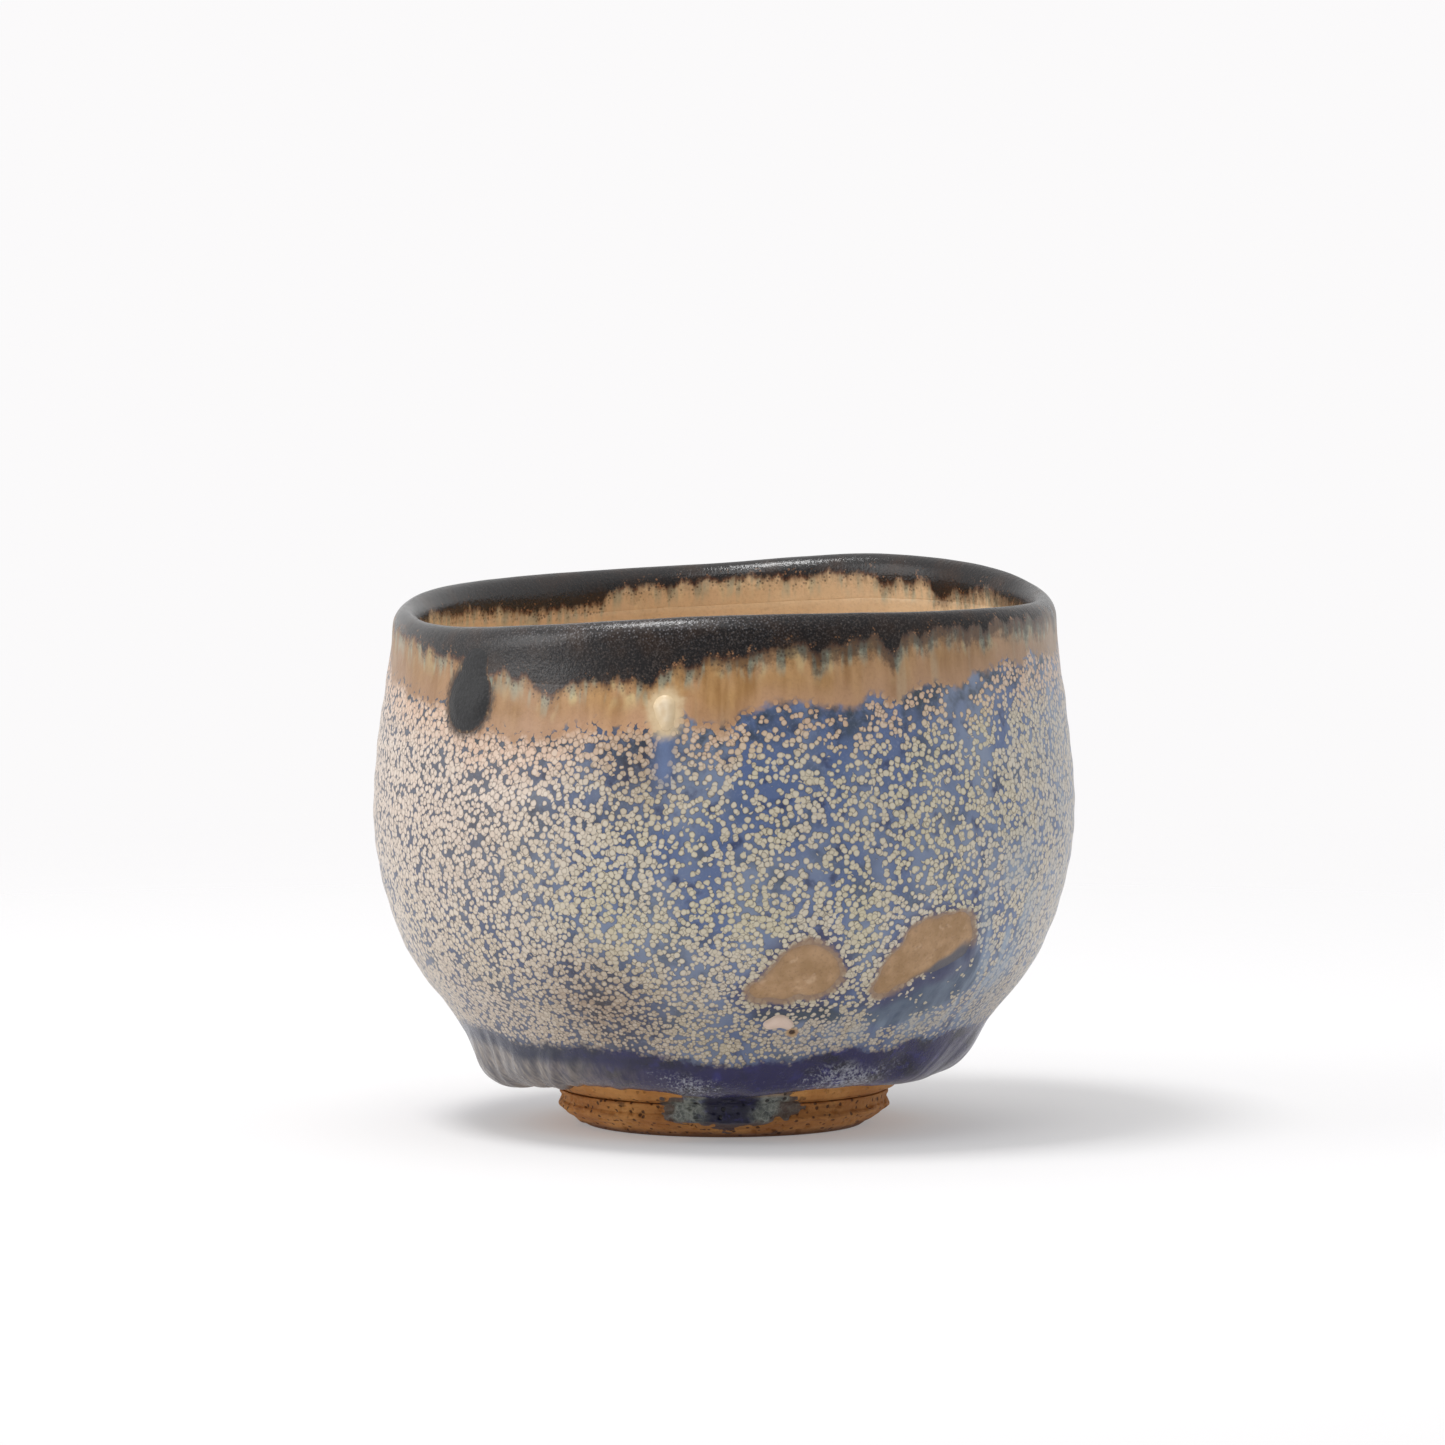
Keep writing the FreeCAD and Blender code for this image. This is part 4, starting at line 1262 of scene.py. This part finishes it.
def black_rim(graph, under):
    """The black glaze of the rim laid over a colour, with rust and turquoise where it thins out.

    Returns the colour, and the share of a place that is black."""
    fine = graph.noise(0.7, 3.0, 0.65, shift=5.0, along=0.5)
    drawn = graph.noise(1.6, 2.0, 0.6, shift=29.0, along=0.25)
    depth = graph["black"] + fine * 0.35 + drawn * 0.7
    share = depth.step(-0.25, 0.75)
    right, front, along = graph["right"], graph["front"], graph["along"]
    green = depth.step(-4.4, -0.8) * graph.noise(1.7, shift=37.0, along=0.22).step(-0.2, 0.5)
    rust = depth.step(-0.9, 0.2) * graph.noise(2.2, shift=45.0).step(-1.2, 0.4)
    umber = (depth + graph.noise(1.2, 3.0, 0.7, shift=59.0) * 1.2 + right * 1.5).step(-2.4, 0.5)
    soot = graph.cells(0.62).step(0.4, 0.24) * depth.step(-2.6, -0.4)
    flecks = graph.cells(0.5).step(0.46, 0.28) * graph.noise(1.5, shift=49.0).step(0.0, 0.8)
    flecks = flecks * depth.step(2.6, 0.6) * depth.step(-0.6, 0.2)
    # painted reflection: a pale line just inside the lip, on the front
    lip_reflection = along.step(-1.3, -0.9) * along.step(-0.3, -0.7) * front
    # painted highlight: pale specks on the black near the crest
    painted_glints = graph.cells(0.48).step(0.4, 0.22) * graph["sheen"] * depth.step(0.5, 2.5)
    grit = graph.noise(0.35, 2.0, 0.7, shift=47.0).step(-0.2, 1.1)
    body = graph.layered(
        BLACK,
        (graph.noise(6.0, shift=43.0).step(-0.2, 1.0), BLACK_BROWN),
        # grey grit in the black, heavier towards the front, where it is partly painted sheen
        (grit * (front * 0.45 + 0.25), rgb(94, 85, 80)),
    )
    colour = graph.layered(
        under,
        (green * (right * 0.4 + 0.55), TURQUOISE),
        (rust, RUST),
        (umber * (right * 0.4 + 0.4), UMBER),
        (soot * 0.75, SOOT),
        (share, body),
        (flecks * 0.55, COPPER),
        # the painted reflection inside the lip
        (lip_reflection * 0.35, rgb(160, 140, 132)),
        # the painted highlight specks near the crest
        (painted_glints * 0.5, rgb(150, 148, 152)),
    )
    return colour, share


def cobalt(graph, under):
    """The cobalt glass gathered in the roll, with frosted crystals and streaks, laid over a colour.

    Returns the colour, and the share of a place that is cobalt."""
    gathered = graph["cobalt"]
    crystals = graph.noise(0.8, 4.0, 0.75, shift=71.0, along=1.3) + graph["frost"]
    flowing = graph.noise(1.0, 3.0, 0.6, shift=77.0, along=0.35)
    lobe = graph.mix(flowing.step(-0.9, 1.2), rgb(92, 90, 94), rgb(156, 146, 136))
    lobe = graph.mix(gathered.step(2.0, 4.6), rgb(48, 52, 70), lobe)
    colour = graph.layered(
        COBALT,
        (graph.noise(9.0, 3.0, 0.55, shift=57.0, along=2.2).step(-0.3, 0.9), COBALT_DARK),
        (graph.noise(4.6, shift=63.0, along=1.6).step(0.2, 1.0) * 0.7, COBALT_LIGHT),
        (crystals.step(0.55, 1.35) * gathered.step(1.6, 5.0) * 0.85, FROST),
        (graph["lobe"] * 0.95, lobe),
        (gathered.step(12.0, 14.5) * 0.7, rgb(120, 108, 98)),
    )
    share = (gathered + graph.noise(1.2, shift=51.0) * 0.7).step(-1.3, 0.7)
    return graph.mix(share, under, colour), share


def wall_glaze(name):
    """The glaze of the outer wall, whose zones run on from one coat to the next."""
    graph = new_graph(name)
    speckled, dot = speckle(graph)
    ground = 1.0 - dot
    mark, pin, right = graph["mark"], graph["pin"], graph["right"]
    pool = graph["pool"].step(-0.8, 1.2)
    pool_tone = graph.mix(graph.noise(3.0, shift=81.0).step(-0.8, 0.8), rgb(62, 76, 98), rgb(88, 102, 118))
    film = (mark + graph.noise(0.9, shift=83.0) * 0.4).step(0.9, -0.1)
    haze = graph["haze"] * graph.noise(2.4, shift=87.0, along=0.25).step(-0.6, 0.9)
    speckled = graph.layered(
        speckled,
        (pool * ground * 0.85, pool_tone),
        (graph["dusk"].step(-1.0, 1.0) * ground * 0.85, rgb(48, 58, 66)),
        (mark.step(3.2, 0.8) * ground * 0.75, rgb(56, 54, 92)),
        (film * (1.0 - pool) * 0.9, rgb(150, 122, 96)),
        (graph["trail"] * 0.75, rgb(112, 130, 168)),
        (haze * 0.75, MILK),
        (pin.step(1.35, 0.8) * 0.85, rgb(178, 142, 98)),
        (pin.step(0.75, 0.45), rgb(60, 36, 18)),
    )
    # the ochre band's lower edge runs round the dots, and more so on the left
    edge = graph["tan"] + graph.noise(1.1, shift=91.0) * 0.55
    edge = edge + graph.noise(2.2, 1.0, shift=93.0, along=0.4) * 0.5
    tan_share = (edge + (dot - 0.5) * (0.7 - right * 0.4) * 2.4).step(-0.8, 1.1)
    hairs = graph["run"] + graph.noise(0.7, 3.0, 0.7, shift=67.0, along=0.6) * 0.8
    halo = graph["bead"] + graph.noise(1.2, shift=95.0) * 0.5
    colour = graph.layered(
        speckled,
        (tan_share, ochre(graph)),
        (hairs.step(-1.3, 0.1) * 0.85, rgb(54, 42, 35)),
        (halo.step(-2.2, 0.1) * 0.92, BEAD_CREAM),
    )
    colour, glassy = cobalt(graph, colour)
    colour, black = black_rim(graph, colour)
    roughness = graph.noise(2.0) * 0.04 + 0.34 - glassy * 0.1 - black * 0.13
    grit = graph.noise(0.6, 3.0, 0.65, shift=89.0) * black * 0.024
    raised = dot * (1.0 - tan_share) * 0.035
    uneven = graph.noise(0.9, shift=97.0) * 0.018 + graph.noise(0.35, 1.0, shift=99.0) * 0.006
    return graph.finish(colour, roughness, grit + raised + uneven, 0.7, specular=0.5 - black * right * 0.32)


def inner_glaze(name):
    """The ochre lining: streaked under the black, smoother and a little green where it pooled."""
    graph = new_graph(name)
    black = graph["black"]
    mottle = graph.noise(3.0, 3.0, 0.6, shift=7.0).step(-0.4, 0.9)
    spots = graph.cells(2.3).step(0.3, 0.16)
    colour = graph.layered(
        ochre(graph),
        (black.step(-45.0, -88.0) * mottle * 0.6, rgb(140, 128, 96)),
        (spots * black.step(-10.0, -40.0) * 0.45, rgb(98, 66, 38)),
    )
    height = graph.noise(0.9, shift=97.0) * 0.02 + graph.noise(2.0, shift=3.0, along=0.3) * 0.02
    return graph.finish(black_rim(graph, colour)[0], 0.36, height, 0.7)


def film_glaze(name):
    """The thin film in a finger mark: tan, grained and darker towards its edge."""
    graph = new_graph(name)
    uneven = graph["mark"] + graph.noise(1.0, shift=25.0) * 0.35
    colour = graph.layered(
        rgb(156, 121, 80),
        (graph.noise(3.5, 3.0, 0.6).step(-0.8, 0.9), rgb(182, 146, 108)),
        (graph.noise(0.45, shift=5.0).step(0.0, 1.2) * 0.4, rgb(112, 84, 60)),
        (graph.noise(1.6, shift=15.0).step(0.4, 1.1) * 0.5, rgb(204, 172, 140)),
        (uneven.step(-1.5, 0.1) * 0.5, rgb(132, 106, 84)),
        (graph["pool"].step(-0.6, 0.9) * 0.85, rgb(70, 80, 96)),
    )
    return graph.finish(colour, 0.4, graph.noise(0.8, shift=97.0) * 0.03, 0.7)


def run_glaze(name):
    """The black run: matt in the middle, with a fine rust and gold edge."""
    graph = new_graph(name)
    depth = graph["run"] + graph.noise(0.5, 3.0, 0.7, along=0.5) * 0.3
    body = graph.mix(graph.noise(0.6, 3.0, 0.6).step(-0.5, 1.3), rgb(17, 17, 19), rgb(42, 41, 43))
    edge = graph.mix(graph.noise(1.4, shift=9.0).step(0.2, 0.9), rgb(88, 60, 40), rgb(190, 156, 110))
    colour = graph.mix(depth.step(-0.1, 0.7), edge, body)
    return graph.finish(colour, 0.48, graph.noise(0.5, 3.0, shift=97.0) * 0.05, 0.8)


def bead_glaze(name):
    """The pale beads: cream above, pinkish white on the heel."""
    graph = new_graph(name)
    tone = graph.noise(1.8)
    low_down = graph["cobalt"].step(-30.0, -12.0)
    colour = graph.layered(
        rgb(224, 200, 164),
        (tone.step(-0.8, 0.9), rgb(236, 218, 190)),
        ((1.0 - low_down) * graph["bead"].step(1.5, 0.2), BEAD_CREAM),
        (low_down * 0.8, rgb(208, 184, 172)),
    )
    return graph.finish(colour, 0.38, tone * 0.012, 0.6)


def clay_material(name, roughness, apron):
    """Bare fired clay: toasted orange-brown, with pits and grains, darker along its bottom edge, and darker
    away from the left as painted shade.

    On the bowl's apron, between the foot and the glaze, it is wiped smooth and lighter."""
    graph = new_graph(name)
    tone = graph.noise(7.0, 3.0, 0.6).step(-0.8, 0.9)
    ridged = graph.vector("MULTIPLY", graph.place, (0.35, 0.35, 2.6))
    bands = graph.noise(2.4, 3.0, 0.6, shift=13.0, vector=ridged)
    grains = graph.noise(0.7, 3.0, 0.65, shift=19.0)
    pits = graph.cells(1.3).step(0.3, 0.18)
    colour = graph.layered(
        rgb(172, 112, 56),
        (tone, rgb(206, 148, 84)),
        (bands.step(0.1, 1.1) * 0.6, rgb(112, 66, 34)),
        (grains.step(0.2, 1.2) * 0.55, rgb(92, 58, 34)),
        (grains.step(-0.4, -1.3) * 0.45, rgb(214, 164, 104)),
        (graph.noise(3.4, 3.0, 0.65, shift=27.0).step(0.3, 1.0) * 0.75, rgb(70, 46, 32)),
        (pits * 0.8, rgb(34, 24, 20)),
        # painted shade: the clay is darker away from the left
        ((1.0 - graph["left"]) * 0.22, rgb(104, 62, 34)),
        (graph["level"].step(1.5, 0.2) * 0.8, rgb(72, 42, 34)),
    )
    if apron:
        smooth = graph.mix(tone, rgb(196, 132, 64), rgb(220, 160, 92))
        under_foot = graph["reach"].step(19.4, 18.2)
        colour = graph.layered(
            colour,
            (graph["reach"].step(27.6, 29.0) * 0.75, smooth),
            (under_foot * 0.5, rgb(176, 128, 84)),
        )
    height = grains * 0.05 + bands * 0.05 - pits * 0.2
    return graph.finish(colour, roughness, height, 0.9, specular=0.35)


def splash_glaze(name):
    """The splash on the foot: deep blue-violet in the middle, mottled grey-green towards its edges."""
    graph = new_graph(name)
    across = graph.math("ABSOLUTE", graph["across"] + graph.noise(3.0) * 1.3)
    mottle = graph.noise(1.4, 4.0, 0.7, shift=3.0)
    pits = graph.cells(2.1).step(0.22, 0.14)
    middle = graph.mix(mottle.step(0.0, 1.3), rgb(26, 24, 52), rgb(64, 62, 128))
    crackle = graph.cells(1.1, "DISTANCE_TO_EDGE").step(0.07, 0.02)
    colour = graph.layered(
        rgb(66, 72, 72),
        (mottle.step(-0.7, 0.8), rgb(142, 146, 136)),
        (graph.noise(2.6, shift=9.0).step(0.3, 0.9) * 0.6, rgb(70, 76, 120)),
        (across.step(5.4, 2.8), middle),
        (crackle * across.step(3.0, 6.0) * 0.35, rgb(176, 178, 170)),
        (graph["level"].step(7.0, 7.8) * across.step(2.0, 5.0) * 0.75, rgb(158, 126, 94)),
        (pits * 0.9, rgb(20, 18, 20)),
        (graph["inward"].step(0.9, 0.1) * 0.75, rgb(82, 52, 34)),
    )
    return graph.finish(colour, 0.42, mottle * 0.06 - pits * 0.25, 0.8)

# ------------------------------------------------------------------ the pieces

LAP = 1.6  # how far coats run on under their neighbours


def mark_hollow(azimuth, drop):
    """The outer coat is thin where the fingers held the bowl."""
    return -0.62 * smooth_step(-mark_distance(azimuth, drop), -0.1, 1.1)


def film_lift(edge, v):
    """The film of a finger mark lies sunk in the coat."""
    return -0.30 - 0.45 * smooth_step(edge, -0.2, 0.8)


def run_lift(edge, v):
    """The run stands proud, most of all in its bulb, and sinks in at its edge and under the rim glaze."""
    rise = (0.25 + 0.55 * bump_at(v, 0.8, 4.0)) * smooth_step(-edge, -0.2, 3.0)
    return rise - 0.7 * smooth_step(edge, -0.15, 0.5) - 0.6 * smooth_step(-v, 7.0, 11.0)


def bead_lift(edge, v):
    return 0.5 * smooth_step(-edge, -0.3, 1.4) - 0.5 * smooth_step(edge, -0.3, 0.4)


def blister_lift(edge, v):
    return bead_lift(edge, v) + 0.3 * smooth_step(-edge, -0.1, 0.6)


coat(
    ("speckled_coat", "outer_glaze", "speckled_glaze", wall_glaze("speckled_glaze")),
    start=RIM_LINE - LAP, end=ROLL_LINE + LAP, rows=128, lift=mark_hollow,
)
coat(
    ("cobalt_roll", "glaze_roll", "cobalt_glaze", wall_glaze("cobalt_glaze")),
    start=ROLL_LINE - LAP, end=skin.length(even_turns(COLUMNS)), rows=64, thickness=0.9,
)
coat(
    ("black_rim", "rim_glaze", "black_glaze", wall_glaze("black_glaze")),
    start=-RIM_LINE_INSIDE - LAP, end=RIM_LINE + LAP, rows=96,
)
lining(
    ("ochre_lining", "inner_glaze", "ochre_glaze", inner_glaze("ochre_glaze")),
    start=-RIM_LINE_INSIDE + LAP, rows=118,
)

film = film_glaze("tan_film")
for side, patch, shape in (("left", LEFT_MARK, LEFT_MARK_SHAPE), ("right", RIGHT_MARK, RIGHT_MARK_SHAPE)):
    piece = (side + "_finger_mark", "finger_mark_" + side, "tan_film", film)
    lens(piece, lens_mesh(patch, shape, film_lift, rings=30, margin=0.9, depth=0.9))
lens(
    ("black_run", "rim_run", "black_glaze", run_glaze("black_run")),
    lens_mesh(RUN, RUN_SHAPE, run_lift, rings=48, depth=0.9),
)
lens(
    ("pale_beads", "glaze_bead", "pale_bead", bead_glaze("pale_bead")),
    lens_mesh(BEAD, BEAD_SHAPE, bead_lift),
    lens_mesh(BLISTER, BLISTER_SHAPE, blister_lift),
)
clay_body(("thrown_clay", "clay_bowl", "bare_clay", clay_material("bare_clay", 0.62, True)))
foot(("turned_foot", "foot_ring", "bare_clay", clay_material("foot_clay", 0.72, False)))
splash(("foot_splash", "foot_glaze_run", "cobalt_glaze", splash_glaze("splash_glaze")))

# ------------------------------------------------------------------ floor, light and camera

BACKDROP = (0.965, 0.955, 0.96, 1.0)
FLOOR_RADIUS = 1.6
FLOOR_SPOKES, FLOOR_RINGS = 96, 24


def floor_disc():
    """A pale floor that fades into the backdrop."""
    angle = np.arange(FLOOR_SPOKES)[:, None] * 2.0 * math.pi / FLOOR_SPOKES
    radius = FLOOR_RADIUS * np.linspace(0.0, 1.0, FLOOR_RINGS + 1)[None, 1:] ** 1.5
    grid = np.stack([radius * np.cos(angle), radius * np.sin(angle), radius * angle * 0.0], axis=-1)
    vertices = np.concatenate([grid.reshape(-1, 3), [[0.0, 0.0, 0.0]]])
    faces = ring_faces(FLOOR_SPOKES, FLOOR_RINGS, False).tolist()
    faces += fan(FLOOR_SPOKES, FLOOR_RINGS, 0, len(vertices) - 1).tolist()
    mesh = bpy.data.meshes.new("floor")
    mesh.from_pydata(vertices.tolist(), [], faces)
    mesh.update()
    disc = bpy.data.objects.new("floor", mesh)
    bpy.context.scene.collection.objects.link(disc)
    graph = Graph(bpy.data.materials.new("pale_floor"))
    distance = graph.node("VectorMath", {0: graph.place}, "Value", operation="LENGTH")
    white = graph.node("BsdfDiffuse", {"Color": (0.62, 0.615, 0.62, 1.0)})
    glow = graph.node("Emission", {"Color": BACKDROP, "Strength": 0.24})
    lit = graph.node("AddShader", {0: white, 1: glow})
    clear = graph.node("BsdfTransparent", {})
    faded = graph.node("MixShader", {0: distance.step(0.16, 0.55), 1: lit, 2: clear})
    graph.node("OutputMaterial", {"Surface": faded})
    mesh.materials.append(graph.owner)
    return disc


def aim(item, place, target):
    item.location = place
    item.rotation_mode = "QUATERNION"
    item.rotation_quaternion = (Vector(target) - Vector(place)).to_track_quat("-Z", "Y")


def area_light(name, place, target, size, power):
    light = bpy.data.lights.new(name, "AREA")
    light.shape = "RECTANGLE"
    light.size, light.size_y = size
    light.energy = power
    lamp = bpy.data.objects.new(name, light)
    aim(lamp, place, target)
    bpy.context.scene.collection.objects.link(lamp)


def surroundings():
    """White all round for the camera. As light, bright above, behind and at the sides, dim from the front."""
    world = bpy.data.worlds.new("studio")
    bpy.context.scene.world = world
    graph = Graph(world)
    ahead = graph.node("SeparateXYZ", {0: graph.place.other("Generated")}, "Y").step(-0.95, -0.25)
    light = graph.node("Background", {"Strength": ahead * 0.8 + 0.3})
    seen = graph.node("Background", {"Color": BACKDROP})
    camera_ray = graph.node("LightPath", {}, "Is Camera Ray")
    shown = graph.node("MixShader", {0: camera_ray, 1: light, 2: seen})
    graph.node("OutputWorld", {"Surface": shown})


floor_disc()
surroundings()
area_light("overhead", (-0.45, -0.2, 1.5), (0.0, 0.0, 0.05), (0.5, 0.36), 11.0)
area_light("left", (-1.6, -0.5, 0.7), (0.0, 0.0, 0.05), (0.9, 1.2), 6.0)
area_light("front_sheen", (-0.3, -1.1, 1.5), (0.0, 0.0, 0.08), (0.9, 0.4), 3.2)

camera_data = bpy.data.cameras.new("camera")
camera_data.sensor_width = 36.0
camera_data.lens = 340.9
camera_data.shift_y = 0.0028
camera_data.clip_end = 20.0
camera = bpy.data.objects.new("camera", camera_data)
aim(camera, (-0.00025, -2.230, 0.262), (-0.00025, 0.0, 0.065))
bpy.context.scene.collection.objects.link(camera)
bpy.context.scene.camera = camera
bpy.context.scene.view_settings.view_transform = "Standard"
